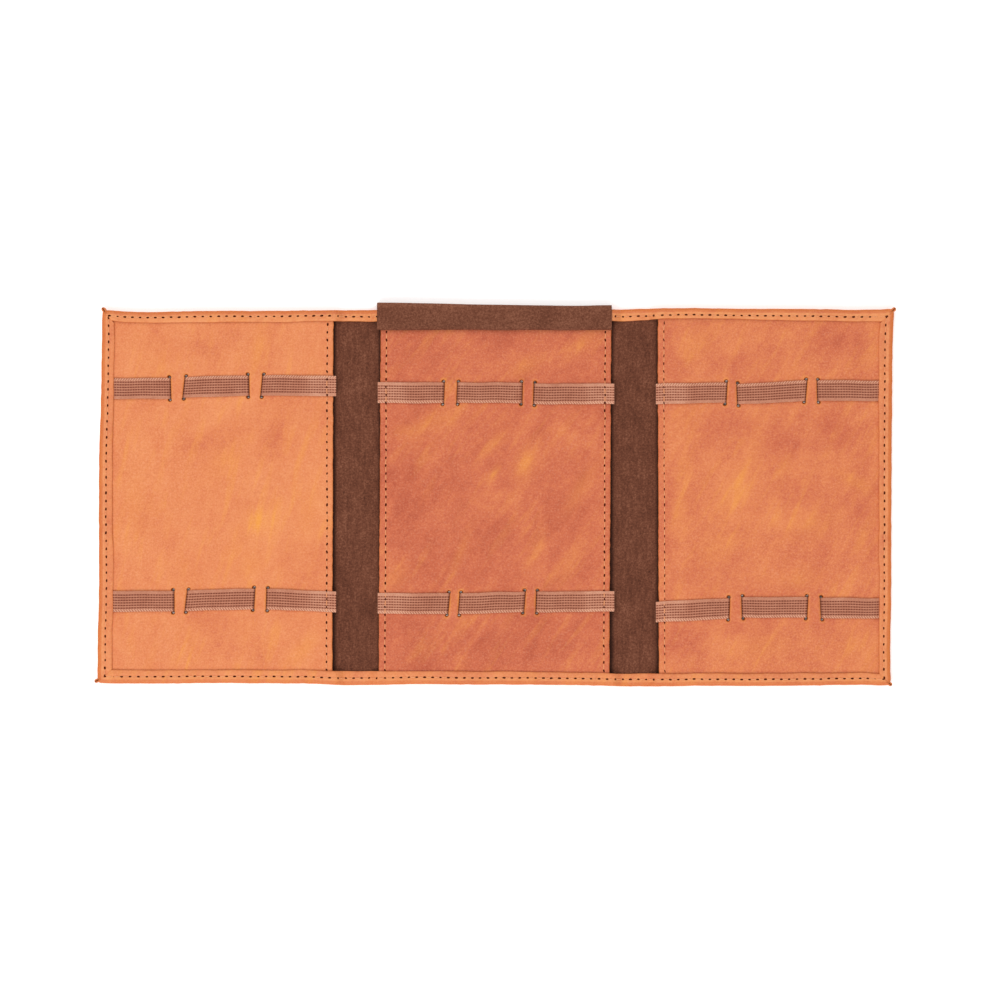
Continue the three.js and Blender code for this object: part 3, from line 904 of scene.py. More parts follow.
def build_corner_folds():
    for name, (side, end, middle, way, length) in CORNER_FOLDS.items():
        corner = placed([(side * HALF_WIDTH, end * HALF_HEIGHT, 0.0)])[0]
        tip = corner + np.array([*middle, 0.0])
        out = np.array([*way, 0.0]) / math.hypot(*way)
        across = np.array([-out[1], out[0], 0.0])
        sections, shades = [], []
        for along in [*np.linspace(-length, 0, 12), *(FOLD_TIP * np.sin(np.radians(TIP_ANGLES)))]:
            inward = max(0.0, -along / length)
            rounding = math.sqrt(max(0.0, 1 - (max(along, 0.0) / FOLD_TIP) ** 2))
            half = (FOLD_TIP + (FOLD_INNER - FOLD_TIP) * inward) * (1 - between(inward, 0.75, 1.1))
            half = max(half * rounding, FOLD_LEAST)
            high = SIDE_HEM_TOP + FOLD_PROUD - 0.5 * (1 - rounding) - 0.5 * between(inward, 0.8, 1.0)
            low = 0.4 + 1.2 * (1 - rounding)
            ring = [
                (u, high - 0.35 * abs(u) ** 3 - CREASE_DEPTH * rounding * bump(u * half, 0.0, CREASE_WIDTH))
                for u in OVER_FOLD
            ]
            ring += [(u, low + 0.3 * abs(u) ** 2) for u in UNDER_FOLD]
            middle_of_ring = tip + out * along
            sections.append([middle_of_ring + across * half * u + np.array([0.0, 0.0, z]) for u, z in ring])
            shades += [CREASE_SHADE * rounding * bump(u * half, 0.0, CREASE_SHADE_WIDTH) for u in OVER_FOLD]
            shades += [0.0] * len(UNDER_FOLD)
        points, faces = loft(np.array(sections))
        values = {"rim": np.full(len(points), 0.65), "lip": np.full(len(points), 0.2), "shade": shades}
        piece = make_mesh(f"leather_corner_{name}", points, faces, values)
        dress(piece, "cover")
        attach(piece, "left_panel" if side < 0 else "right_panel")
        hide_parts("cover_left" if side < 0 else "cover_right")


# ---------------------------------------------------------------- the lining

LINING_Y = INSIDE_Y - 0.2
LINING_THICKNESS = 0.5
LINING_CROWN = 0.28
WRINKLES = Waves(41, 2.6, 7.0, count=18, heading=0.0, spread=0.09)
WRINKLE_HEIGHT = 0.085
WRINKLE_LIMITS = (-0.16, 0.22)
SHADOW_REACH = 1.6
SHADOW = 0.75
LINING_NODES = {
    "left": ["lining_left_edge"],
    "centre_left": ["lining_left_spine", "lining_centre"],
    "centre_right": ["lining_centre"],
    "right": ["lining_right_spine", "lining_right_edge"],
}


def lining_top(x, y):
    """The height of the lining's upper face: crowned in the spines and wrinkled along them."""
    half_spine = (SIDE_EDGE - CENTRE_EDGE) / 2
    in_spine = np.clip(1 - ((np.abs(x) - MID_SPINE) / half_spine) ** 2, 0.0, 1.0)
    clear_of_hem = 1 - between(np.abs(y), HALF_HEIGHT - 14, HALF_HEIGHT - 8)
    crown = LINING_CROWN * in_spine * (0.4 + 0.6 * clear_of_hem)
    worn = 0.45 + 0.55 * between(np.abs(y), 30, 80) * clear_of_hem
    wrinkle = WRINKLE_HEIGHT * WRINKLES(x, y) * worn * np.sqrt(in_spine) * (0.35 + 0.65 * clear_of_hem)
    return LINING_BOTTOM + LINING_THICKNESS - 0.05 + crown + np.clip(wrinkle, *WRINKLE_LIMITS)


def slab(xs, ys, top, bottom):
    """Points and faces of a thin closed slab over a grid, with the height of its top and its bottom."""
    nx, ny = len(xs), len(ys)
    x, y = np.meshgrid(xs, ys, indexing="ij")
    layers = [np.stack([x, y, z], axis=-1).reshape(-1, 3) for z in (top(x, y), np.full(x.shape, bottom))]
    under = nx * ny
    faces = []
    for i in range(nx - 1):
        for j in range(ny - 1):
            a = i * ny + j
            faces.append((a, a + ny, a + ny + 1, a + 1))
            faces.append((under + a, under + a + 1, under + a + ny + 1, under + a + ny))
    faces += walls([i * ny + j for i, j in grid_border(nx, ny)], under)
    return np.concatenate(layers), faces


def build_lining():
    ys = filled([-LINING_Y, LINING_Y], lambda y: 1.6)
    spine = SIDE_EDGE - CENTRE_EDGE
    for quarter, (low, high, *_) in QUARTERS.items():
        low, high = max(low, -LINING_END), min(high, LINING_END)
        inner = [v for v in (-SIDE_EDGE, -CENTRE_EDGE, CENTRE_EDGE, SIDE_EDGE) if low < v < high]
        xs = filled([low, high, *inner], lambda x: 0.4 if -2 < abs(x) - CENTRE_EDGE < spine + 2 else STEP)
        points, faces = slab(xs, ys, lining_top, LINING_BOTTOM)
        from_edge = np.minimum(np.abs(points[:, 0]) - CENTRE_EDGE, SIDE_EDGE - np.abs(points[:, 0]))
        shade = np.clip(1 - from_edge / SHADOW_REACH, 0, 1) * SHADOW
        values = {"shade": shade, "streaks": np.ones(len(points)), "lift_and_painted_sheen": np.zeros(len(points))}
        piece = make_mesh(f"microfibre_lining_{quarter}", placed(points), faces, values)
        dress(piece, "microfibre")
        bend_quarter(piece, quarter)
        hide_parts(*LINING_NODES[quarter])


# ---------------------------------------------------------------- the elastic straps' routes

# Each strap's route across its panel: x, and y of its middle, at its two ends and at its four slits.
STRAPS = {
    "left_top": [(-195, 54.2), (-162.8, 54.3), (-155.9, 54.8), (-123.6, 55.7), (-117, 55.7), (-79.9, 55.6)],
    "left_bottom": [
        (-195, -52.2), (-161.1, -52.1), (-154.8, -51.9), (-120.9, -50.9), (-114.6, -51.1), (-79.9, -52.3),
    ],
    "centre_top": [(-59.1, 52.1), (-26.1, 52.1), (-19.3, 52.1), (13, 52.1), (19, 51.6), (59.1, 51.5)],
    "centre_bottom": [
        (-59.1, -53.2), (-23.7, -53.3), (-18.3, -53.4), (14.2, -52.3), (20.2, -52.4), (59.1, -52.2),
    ],
    "right_top": [(79.9, 51.5), (115.2, 52.2), (120.7, 51.4), (155, 53.2), (160.8, 53.1), (195, 53.1)],
    "right_bottom": [
        (79.9, -57.5), (116.6, -55.7), (123.1, -55.1), (155.6, -55.1), (162.5, -55.6), (195, -55.6),
    ],
}
# How far each slit leans: x over y, for the four slits of a strap.
SLIT_LEANS = {
    "left_top": (-0.03, 0.11, -0.02, 0.1),
    "left_bottom": (0.0, 0.12, 0.06, 0.03),
    "centre_top": (0.04, 0.04, 0.02, 0.03),
    "centre_bottom": (0.09, 0.08, 0.08, 0.03),
    "right_top": (0.06, -0.04, 0.09, -0.03),
    "right_bottom": (0.03, -0.03, 0.05, -0.05),
}
# The straps that lie with their flecked selvedge upwards.
FLECKED_EDGE_UP = ("left_top", "right_top")
STRAP_HALF_WIDTH = 5.15
# A slit's own size, the radius of the hole at each of its ends, how far that hole sits towards the
# side on which the strap shows, and how much of the size is left at the leather's lower face.
SLIT_HALF_WIDTH = 0.27
SLIT_HALF_LENGTH = 5.6
SLIT_HOLE = 1.0
HOLE_OFFSET = 0.45
SLIT_TAPER = 0.62


def slits_of(strap):
    return STRAPS[strap][1:5]


def strap_middle(strap, x):
    return np.interp(x, *zip(*STRAPS[strap]))


def lean_at(strap, x):
    """The lean of the strap's weave, which is straight at its ends and follows the slits between."""
    places = [STRAPS[strap][0][0] + 6, *[sx for sx, _ in slits_of(strap)], STRAPS[strap][-1][0] - 6]
    return np.interp(x, places, [0.0, *SLIT_LEANS[strap], 0.0])


def bridges_of(strap):
    """The two places where the strap runs under the leather: x of its start and end, and y."""
    s = slits_of(strap)
    return [(s[0][0], s[1][0], (s[0][1] + s[1][1]) / 2), (s[2][0], s[3][0], (s[2][1] + s[3][1]) / 2)]


# ---------------------------------------------------------------- the leather panels

# Each panel's body, its straight left and right edges, and how far each raw edge strays at the top
# and at the bottom.
PANELS = {
    "left": ("left_panel", -INSIDE_X + 0.4, -SIDE_EDGE, (0.0, 0.0), (-0.35, -0.9)),
    "centre": ("centre", -CENTRE_EDGE, CENTRE_EDGE, (0.4, -0.7), (-0.3, -1.35)),
    "right": ("right_panel", SIDE_EDGE, INSIDE_X - 0.4, (-0.1, 0.5), (0.0, 0.0)),
}
PANEL_Y = INSIDE_Y - 0.4
# How far in from its raw edge a panel is still moved by the edge's strays.
RAW_EDGE_REACH = 12
RAW_EDGE_RIPPLE = Waves(51, 2.5, 12)
PANEL_SWELL = Waves(52, 40, 130)
PANEL_DIMPLES = Waves(53, 7, 20)

# Patches in the pull-up leather: x, y, half length, half width, lean in degrees, strength. Gold ones
# were stretched most; the others are lighter (+) or deeper rust (-) than the panel around them.
GOLD_PATCHES = {
    "left": [
        (-119, 75, 12, 4, 80, 0.6), (-173, 66, 9, 6, 60, 0.3), (-136, 18, 11, 6, 60, 0.5),
        (-117, -13, 9, 6, 20, 0.9), (-123, -34, 9, 6, 60, 0.6), (-93, -6, 16, 5, 80, 0.5),
        (-180, -4, 20, 5, 90, 0.4), (-157, -45, 9, 6, 80, 0.3), (-96, -76, 10, 4, 50, 0.9),
        (-153, -74, 10, 4, 80, 0.4),
    ],
    "centre": [
        (-28, 39, 12, 5, 25, 0.6), (-45, 33, 7, 3, 10, 0.5), (-23, 54, 8, 4, 40, 0.4),
        (14.5, 16, 7, 4, 65, 1.1), (-1.7, 10.7, 4.5, 1.2, 55, 1.2), (14.5, 65, 9, 4, 30, 0.7),
        (44, 77, 10, 3.5, 40, 0.6), (42, 4, 13, 3.5, 60, 0.55), (37, -33, 12, 3, 62, 0.6),
        (19, -30, 10, 2.5, 60, 0.35), (-18, -28, 14, 2.2, 68, 0.5), (-50, -40, 8, 5, 60, 0.5),
        (-37, -75, 9, 2, 45, 0.35), (-17, -64, 5, 3, 40, 0.3), (0, 27, 9, 3, 40, 0.4),
    ],
    "right": [
        (100, 75, 10, 4, 60, 0.6), (119, 3, 16, 5, 62, 0.6), (92, -6, 12, 4, 80, 0.5),
        (180, 7, 10, 3, -28, 0.8), (157, -15, 12, 5, 20, 0.4), (109, -26, 10, 6, 40, 0.5),
        (152, -41, 10, 5, 20, 0.4), (132, -75, 14, 6, 10, 0.5), (179, -75, 8, 6, 0, 0.4),
        (97, 40, 9, 4, 70, 0.35), (130, 30, 14, 3, 80, 0.3),
    ],
}
TONE_PATCHES = {
    "left": [
        (-149, 74, 10, 7, 0, -0.6), (-150, 27, 14, 8, 10, -0.7), (-109, 27, 9, 8, 0, -0.8),
        (-145, -60, 12, 8, 0, -0.6), (-188, -55, 7, 10, 0, -0.4), (-117, -13, 10, 7, 0, 0.4),
        (-142, -77, 12, 7, 0, -0.5), (-115, -77, 9, 7, 0, -0.4), (-135, -38, 14, 8, 0, -0.4),
    ],
    "centre": [
        (-43, 12, 9, 12, 0, -0.6), (-28, 4, 10, 7, 30, -0.5), (-46, -7, 8, 10, 0, -0.6),
        (-38, 72, 11, 8, 40, -0.4), (24, 38, 14, 4, 58, -0.5), (-3, -20, 14, 10, 30, -0.3),
        (22, -75, 22, 10, 20, -0.7), (-44, -64, 9, 7, 0, -0.5), (14.5, 16, 10, 7, 60, 0.5),
        (-28, 39, 14, 7, 25, 0.4), (-34, -76, 18, 10, 0, -0.6), (-36, -30, 14, 14, 0, -0.4),
        (-47, 70, 7, 8, 0, -0.5), (-5, -76, 18, 9, 0, -0.35), (10, -60, 26, 8, 0, -0.4),
        (17, 70, 18, 7, 0, 0.4), (43, 2, 8, 12, 0, 0.35),
    ],
    "right": [
        (172, 77, 14, 8, -10, -0.6), (172, 32, 12, 7, -30, -0.6), (142, 25, 11, 8, 20, -0.6),
        (182, -9, 6, 8, 0, -0.6), (90, 66, 8, 6, 0, -0.4), (92, -71, 10, 9, 0, -0.8),
        (160, -65, 10, 6, 0, -0.4), (112, 66, 10, 6, 0, -0.4), (119, 3, 16, 9, 60, 0.4),
        (127, 46, 9, 12, 0, 0.5), (103, 57, 12, 8, 0, 0.4), (155, 0, 12, 8, 0, -0.4),
        (184, -30, 7, 14, 0, -0.4),
    ],
}


def patches_at(patches, x, y):
    """The strength of all the patches together at places on the case."""
    total = np.zeros(np.shape(x))
    for px, py, length, width, lean, strength in patches:
        angle = math.radians(lean)
        u = (x - px) * math.cos(angle) + (y - py) * math.sin(angle)
        v = -(x - px) * math.sin(angle) + (y - py) * math.cos(angle)
        total += strength * np.exp(-((u / length) ** 2) - (v / width) ** 2)
    return total


def raw_edge(edge_shift, y):
    """How far a panel's raw edge is from straight, at a height on the case."""
    top, bottom = edge_shift
    share = (y + HALF_HEIGHT) / (2 * HALF_HEIGHT)
    return bottom + (top - bottom) * share + 0.09 * RAW_EDGE_RIPPLE(y, 3.0)


def panel_placed(panel, x, y):
    """A point of the straight panel moved to its place, raw edges and outline included."""
    _, low, high, low_shift, high_shift = PANELS[panel]
    x = np.asarray(x, float)
    if panel != "left":
        x = x + raw_edge(low_shift, y) * (1 - between(x, low, low + RAW_EDGE_REACH))
    if panel != "right":
        x = x + raw_edge(high_shift, y) * between(x, high - RAW_EDGE_REACH, high)
    return outline(x, y)


def slit_distance(strap, x, y):
    """The distance to the nearest of a strap's slits."""
    nearest = np.full(np.shape(x), 1e3)
    for (sx, sy), lean in zip(slits_of(strap), SLIT_LEANS[strap]):
        past_end = np.maximum(np.abs(y - sy) - SLIT_HALF_LENGTH, 0.0)
        nearest = np.minimum(nearest, np.hypot(x - sx - lean * (y - sy), past_end) - SLIT_HALF_WIDTH)
    return nearest


# How much the leather rises along a slit's lips and over a strap that runs under it, and how much it
# is pressed down under the hem beside a strap's end.
LIP_RISE = 0.14
BRIDGE_RISE = 0.42
TUCK = 0.7


def panel_height(panel, x, y):
    """The height of a panel's upper face."""
    x, y = np.broadcast_arrays(np.asarray(x, float), np.asarray(y, float))
    from_hem = np.minimum(HALF_WIDTH - np.abs(x), HALF_HEIGHT - np.abs(y))
    free = between(from_hem, 6.0, 14.0)
    z = PANEL_TOP + free * (0.11 * PANEL_SWELL(x, y) + 0.02 * PANEL_DIMPLES(x, y))
    for end in ("top", "bottom"):
        strap = f"{panel}_{end}"
        z = z + LIP_RISE * bump(slit_distance(strap, x, y), 0.9, 1.0)
        for low, high, middle in bridges_of(strap):
            along = x - lean_at(strap, x) * (y - middle) * (np.abs(y - middle) < 9)
            across = between(along, low - 0.6, low + 1.2) * (1 - between(along, high - 1.2, high + 0.6))
            z = z + BRIDGE_RISE * across * (1 - between(np.abs(y - middle), 4.4, 7.6))
        beside_strap = 1 - between(np.abs(y - strap_middle(strap, x)), 5.2, 6.6)
        z = z - TUCK * between(np.abs(x), 189.6, 191.4) * beside_strap
    return z


def arc(middle, radius, start_deg, end_deg, count=13):
    """Points along part of a circle."""
    angles = np.radians(np.linspace(start_deg, end_deg, count))
    return np.stack([middle[0] + radius * np.cos(angles), middle[1] + radius * np.sin(angles)], axis=1)


def spread_along(path, shares):
    """Points at the given shares of a path's length."""
    steps = np.linalg.norm(np.diff(path, axis=0), axis=1)
    length = np.concatenate([[0.0], np.cumsum(steps)])
    places = np.asarray(shares) * length[-1]
    return np.stack([np.interp(places, length, path[:, axis]) for axis in (0, 1)], axis=1)


def slit_ring(shares, size, towards, lean):
    """The slit with a round hole at each end, as one loop of a right side, top, left side and bottom,
    each given by its shares from 0 to 1. The holes sit a little towards the strap's visible side."""
    offset, hole = HOLE_OFFSET * towards * size, SLIT_HOLE * size
    half_width = SLIT_HALF_WIDTH * size
    meets_right = math.degrees(math.acos((half_width - offset) / hole))
    meets_left = math.degrees(math.acos((-half_width - offset) / hole))
    high, low = (offset, SLIT_HALF_LENGTH), (offset, -SLIT_HALF_LENGTH)
    sides = (
        np.concatenate([arc(low, hole, -45, meets_right), arc(high, hole, -meets_right, 45)]),
        arc(high, hole, 45, 135),
        np.concatenate([arc(high, hole, 135, 360 - meets_left), arc(low, hole, meets_left, 225)]),
        arc(low, hole, 225, 315),
    )
    loop = np.concatenate([spread_along(side, part) for side, part in zip(sides, shares)])
    loop[:, 0] += lean * loop[:, 1]
    return loop


# Each slit is cut inside a window of the panel's grid, this far to either side and up and down.
WINDOW_X, WINDOW_Y = 2.6, 9.6
# The rings from a slit out to its window: how far beyond the slit, what share of the rest of the way
# to the window, and how far below the leather's face.
SLIT_RINGS = ((0.0, 0.0, 0.34), (0.16, 0.0, 0.1), (0.5, 0.0, 0.0), (0.5, 0.35, 0.0), (0.5, 0.7, 0.0))
EDGE_DROP = 0.3
STRETCHED_GOLD = 0.7


def panel_lines(first, last, middles, half, fine):
    """Grid lines along one axis, close together in the windows round the slits."""
    lines = [first, first + 0.35, first + 1.2, last - 1.2, last - 0.35, last]
    lines += [middle + side * half for middle in middles for side in (-1, 1)]
    return filled(lines, lambda v: fine if any(abs(v - middle) < half for middle in middles) else 2.4)


def slit_windows(panel):
    """For each slit of a panel: its middle, the side on which its strap shows, and its lean."""
    return [
        (sx, sy, -1 if n % 2 == 0 else 1, SLIT_LEANS[f"{panel}_{end}"][n])
        for end in ("top", "bottom")
        for n, (sx, sy) in enumerate(slits_of(f"{panel}_{end}"))
    ]


class PanelFace:
    """The upper face of a panel: a grid with a slit cut in each of its windows."""

    def __init__(self, xs, ys):
        self.xs, self.ys = xs, ys
        self.inside = np.zeros((len(xs) - 1, len(ys) - 1), bool)
        self.corners = {}
        self.points, self.drop, self.faces = [], [], []
        self.holes = []
        self.stretched = set()
        self.narrowed = {}

    def corner(self, i, j):
        """The index of a grid point, made when it is first asked for."""
        if (i, j) not in self.corners:
            on_edge = i in (0, len(self.xs) - 1) or j in (0, len(self.ys) - 1)
            self.corners[i, j] = self.add((self.xs[i], self.ys[j]), EDGE_DROP if on_edge else 0.0)
        return self.corners[i, j]

    def add(self, place, lowered):
        self.points.append(place)
        self.drop.append(lowered)
        return len(self.points) - 1

    def cut_slit(self, sx, sy, towards, lean):
        """Cuts a slit, with rings of points from its edge out to the border of its window."""
        xs, ys = self.xs, self.ys
        i0, i1 = (int(np.argmin(np.abs(xs - sx - side * WINDOW_X))) for side in (-1, 1))
        j0, j1 = (int(np.argmin(np.abs(ys - sy - side * WINDOW_Y))) for side in (-1, 1))
        self.inside[i0:i1, j0:j1] = True
        border = [(i1, j) for j in range(j0, j1)] + [(i, j1) for i in range(i1, i0, -1)]
        border += [(i0, j) for j in range(j1, j0, -1)] + [(i, j0) for i in range(i0, i1)]
        width, height = xs[i1] - xs[i0], ys[j1] - ys[j0]
        shares = (
            (ys[j0:j1] - ys[j0]) / height, (xs[i1] - xs[i1:i0:-1]) / width,
            (ys[j1] - ys[j1:j0:-1]) / height, (xs[i0:i1] - xs[i0]) / width,
        )
        loop, narrow = (slit_ring(shares, size, towards, lean) + (sx, sy) for size in (1.0, SLIT_TAPER))
        outer = np.array([(xs[i], ys[j]) for i, j in border])
        reach = np.linalg.norm(outer - loop, axis=1)
        rings = []
        for beyond, share, lowered in SLIT_RINGS:
            part = beyond / reach
            part = part + (1 - part) * share
            rings.append([self.add(tuple(a + (b - a) * t), lowered) for a, b, t in zip(loop, outer, part)])
        self.narrowed.update(zip(rings[0], narrow))
        self.stretched.update(rings[1] + rings[2])
        rings.append([self.corner(i, j) for i, j in border])
        for near, far in zip(rings[:-1], rings[1:]):
            for n in range(len(near)):
                m = (n + 1) % len(near)
                self.faces.append((near[n], far[n], far[m], near[m]))
        self.holes.append(rings[0])

    def fill_grid(self):
        """Faces for the whole grid outside the windows."""
        for i, j in np.argwhere(~self.inside).tolist():
            square = ((i, j), (i + 1, j), (i + 1, j + 1), (i, j + 1))
            self.faces.append(tuple(self.corner(*spot) for spot in square))


def build_panel(panel):
    body, low, high, _, _ = PANELS[panel]
    windows = slit_windows(panel)
    face = PanelFace(
        panel_lines(low, high, [window[0] for window in windows], WINDOW_X, 0.75),
        panel_lines(-PANEL_Y, PANEL_Y, [window[1] for window in windows], WINDOW_Y, 0.7),
    )
    for window in windows:
        face.cut_slit(*window)
    face.fill_grid()

    # the upper face, and below it the lower face, with narrower slits
    plan, drop = np.array(face.points), np.array(face.drop)
    height = panel_height(panel, *plan.T)
    top = np.stack([*panel_placed(panel, *plan.T), height - drop], axis=1)
    for index, place in face.narrowed.items():
        plan[index] = place
    below = PANEL_BOTTOM + np.maximum(height - PANEL_TOP, 0.0)
    under = np.stack([*panel_placed(panel, *plan.T), below], axis=1)
    count = len(plan)
    faces = face.faces + [tuple(count + v for v in reversed(corners)) for corners in face.faces]
    outside = [face.corners[spot] for spot in grid_border(len(face.xs), len(face.ys))]
    for ring in [*face.holes, outside]:
        faces += walls(ring, count)

    x, y = plan.T
    in_hole, stretched = np.zeros(count), np.zeros(count)
    in_hole[sum(face.holes, [])] = 1.0
    stretched[list(face.stretched)] = STRETCHED_GOLD
    raw = np.maximum(np.clip(drop * (1 - in_hole) / EDGE_DROP, 0, 0.7), in_hole)
    from_hem = np.minimum(HALF_WIDTH - np.abs(x), HALF_HEIGHT - np.abs(y))
    hem_shadow = 0.15 * (1 - between(from_hem, 5.6, 7.6))
    attributes = {
        "tone": np.tile(patches_at(TONE_PATCHES[panel], x, y), 2),
        "gold": np.tile(np.maximum(patches_at(GOLD_PATCHES[panel], x, y), stretched), 2),
        "rim": np.tile(raw, 2),
        "shade": np.concatenate([np.maximum(in_hole * depth, hem_shadow) for depth in (0.25, 0.75)]),
    }
    piece = make_mesh(f"leather_panel_{panel}", np.concatenate([top, under]), faces, attributes)
    dress(piece, panel)
    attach(piece, body)
    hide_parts(f"panel_{panel}")


# ---------------------------------------------------------------- the elastic straps

RIB_POINTS = 6
RIB_HEIGHT = 0.1
SLIT_RUN = 0.95
STRAP_SLACK = 0.16
STRAP_TUCK = 0.85
FACE_UP, FACE_DOWN = 0.27, -0.33
SLIT_SHADE = 0.45


def strap_height(strap, x):
    """The height of the strap's middle: over the leather, and under it between slits 1-2 and 3-4."""
    slits = [sx for sx, _ in slits_of(strap)]
    ends = [STRAPS[strap][0][0], *slits, STRAPS[strap][-1][0]]
    passed = [between(x, s - SLIT_RUN, s + SLIT_RUN) for s in slits]
    under = passed[0] * (1 - passed[1]) + passed[2] * (1 - passed[3])
    slack = sum(
        STRAP_SLACK * np.sin(np.pi * np.clip((x - low) / (high - low), 0, 1))
        for low, high in zip(ends[0::2], ends[1::2])
    )
    return OVER + slack + (UNDER - OVER) * under - STRAP_TUCK * between(np.abs(x), 189.6, 192.0)


def strap_section():
    """The strap's ribbed outline: the share of its width at each point, and the height there."""
    across = np.linspace(0, 1, ELASTIC_ROWS * RIB_POINTS + 1)
    rib = RIB_HEIGHT * np.abs(np.cos(np.pi * across * ELASTIC_ROWS)) ** 0.7
    edge = 0.2 * (1 - smooth(np.minimum(across, 1 - across) / 0.03))
    back = np.linspace(0.985, 0.015, 7)
    heights = np.concatenate([FACE_UP + rib - edge, np.full(len(back), FACE_DOWN)])
    return np.concatenate([across, back]), heights


def build_strap(strap):
    panel, _ = strap.split("_")
    low, high = STRAPS[strap][0][0], STRAPS[strap][-1][0]
    slits = [sx for sx, _ in slits_of(strap)]
    lines = [low, high, *[s + side * 2.0 for s in slits for side in (-1, 1)]]
    xs = filled(lines, lambda v: 0.22 if any(abs(v - s) < 2.0 for s in slits) else 0.9)
    z = strap_height(strap, xs)
    middle = strap_middle(strap, xs) + 0.08 * HEM_SWELL(xs, 40.0)
    slope = np.gradient(z, xs)
    tilt = 1 / np.hypot(1, slope)
    length = np.concatenate([[0.0], np.cumsum(np.hypot(np.diff(xs), np.diff(z)))])
    shares, heights = strap_section()
    half = STRAP_HALF_WIDTH + 0.07 * HEM_EDGE_WOBBLE(xs, middle)
    sideways = (shares - 0.5) * 2 * half[:, None]
    sections = np.stack([
        xs[:, None] - (slope * tilt)[:, None] * heights + lean_at(strap, xs)[:, None] * sideways,
        middle[:, None] + sideways,
        z[:, None] + tilt[:, None] * heights,
    ], axis=-1)
    points, faces = loft(sections)

    in_slit = np.max([1 - between(np.abs(xs - s), 0.3, 0.9) for s in slits], axis=0)
    slack = np.zeros(len(xs))
    if panel != "right":
        slack = np.maximum(slack, between(xs, high - 19, high - 11))
    if panel != "left":
        slack = np.maximum(slack, 1 - between(xs, low + 11, low + 19))
    attributes = {
        "along": np.repeat(length, len(shares)),
        "across": np.tile(1 - shares if strap in FLECKED_EDGE_UP else shares, len(xs)),
        "slack": np.repeat(slack, len(shares)),
        "shade": np.repeat(in_slit * SLIT_SHADE, len(shares)),
    }
    piece = make_mesh(f"elastic_strap_{strap}", placed(points), faces, attributes)
    dress(piece, "elastic")
    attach(piece, PANELS[panel][0])
    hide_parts(f"strap_{strap}")


# ---------------------------------------------------------------- the flap over the top hem

FLAP_LEFT, FLAP_RIGHT = -59.4, 57.8
FLAP_HALF_THICKNESS = 0.35
# The flap's two parts meet on top of the hem, at this y.
FLAP_CUT_Y = 90.0
# How far the flap's top edge strays, at places along it.
FLAP_TOP_EDGE = ([-60, -45, -30, 0, 30, 58], [0.15, 0.1, -0.25, -0.95, -1.3, -1.2])
FLAP_WAVE = Waves(61, 14, 60)
FLAP_WAVE_HEIGHT = 0.1
FLAP_HIGH_RADIUS = 1.35


def node_middle(node, axis):
    """The middle of a node's box along one axis."""
    return sum(corner[axis] for corner in node_box(node)) / 2


FLAP_ANCHOR_Y = node_box("flap_anchor")[1][1] - 0.5
FLAP_ANCHOR_Z = node_middle("flap_anchor", 2)
FLAP_STRIP_Z = node_middle("flap_strip", 2)
FLAP_TAIL_Y = node_middle("flap_tail", 1)
FLAP_END_Z = node_box("flap_tail")[0][2] + 0.1


def line(start, end):
    """Points along a straight run of the flap."""
    count = max(2, round(math.dist(start, end) / 0.8) + 1)
    return np.linspace(start, end, count)


def flap_paths():
    """The flap's middle line in y and z, in two parts that meet above the hem."""
    low_z = (FLAP_ANCHOR_Z + FLAP_STRIP_Z) / 2
    low_radius = (FLAP_STRIP_Z - FLAP_ANCHOR_Z) / 2
    fold_y = FLAP_FOLD[1]
    lower = np.concatenate([
        line((FLAP_ANCHOR_Y, FLAP_ANCHOR_Z), (fold_y + 0.3, FLAP_ANCHOR_Z)),
        arc((fold_y, low_z), low_radius, 270, 90, 15)[1:],
        line((fold_y + 0.4, FLAP_STRIP_Z), (FLAP_CUT_Y, FLAP_STRIP_Z)),
    ])
    turn_y, turn_z = FLAP_TAIL_Y - FLAP_HIGH_RADIUS, FLAP_STRIP_Z - FLAP_HIGH_RADIUS
    upper = np.concatenate([
        line((FLAP_CUT_Y, FLAP_STRIP_Z), (turn_y, FLAP_STRIP_Z)),
        arc((turn_y, turn_z), FLAP_HIGH_RADIUS, 90, 0, 9)[1:],
        line((FLAP_TAIL_Y, turn_z - 0.5), (FLAP_TAIL_Y, FLAP_END_Z)),
    ])
    return lower, upper


def flap_section(path):
    """A closed outline round the path, half the flap's thickness on each side."""
    tangent = np.gradient(path, axis=0)
    tangent /= np.linalg.norm(tangent, axis=1)[:, None]
    normal = np.stack([-tangent[:, 1], tangent[:, 0]], axis=1)
    beside = normal * FLAP_HALF_THICKNESS
    return np.concatenate([path + beside, (path - beside)[::-1]])


# The flap's two parts: the bodies on either side of each, where its bend starts and ends in y and z,
# and the nodes it takes the place of.
FLAP_PARTS = {
    "lower": (
        "centre", "flap", (FLAP_FOLD[1], 5.25), (FLAP_FOLD[1], 6.55), ["flap_anchor", "flap_strip"],
    ),
    "upper": ("flap", "flap_drop", (95.0, 6.6), (96.8, 4.8), ["flap_strip", "flap_tail"]),
}


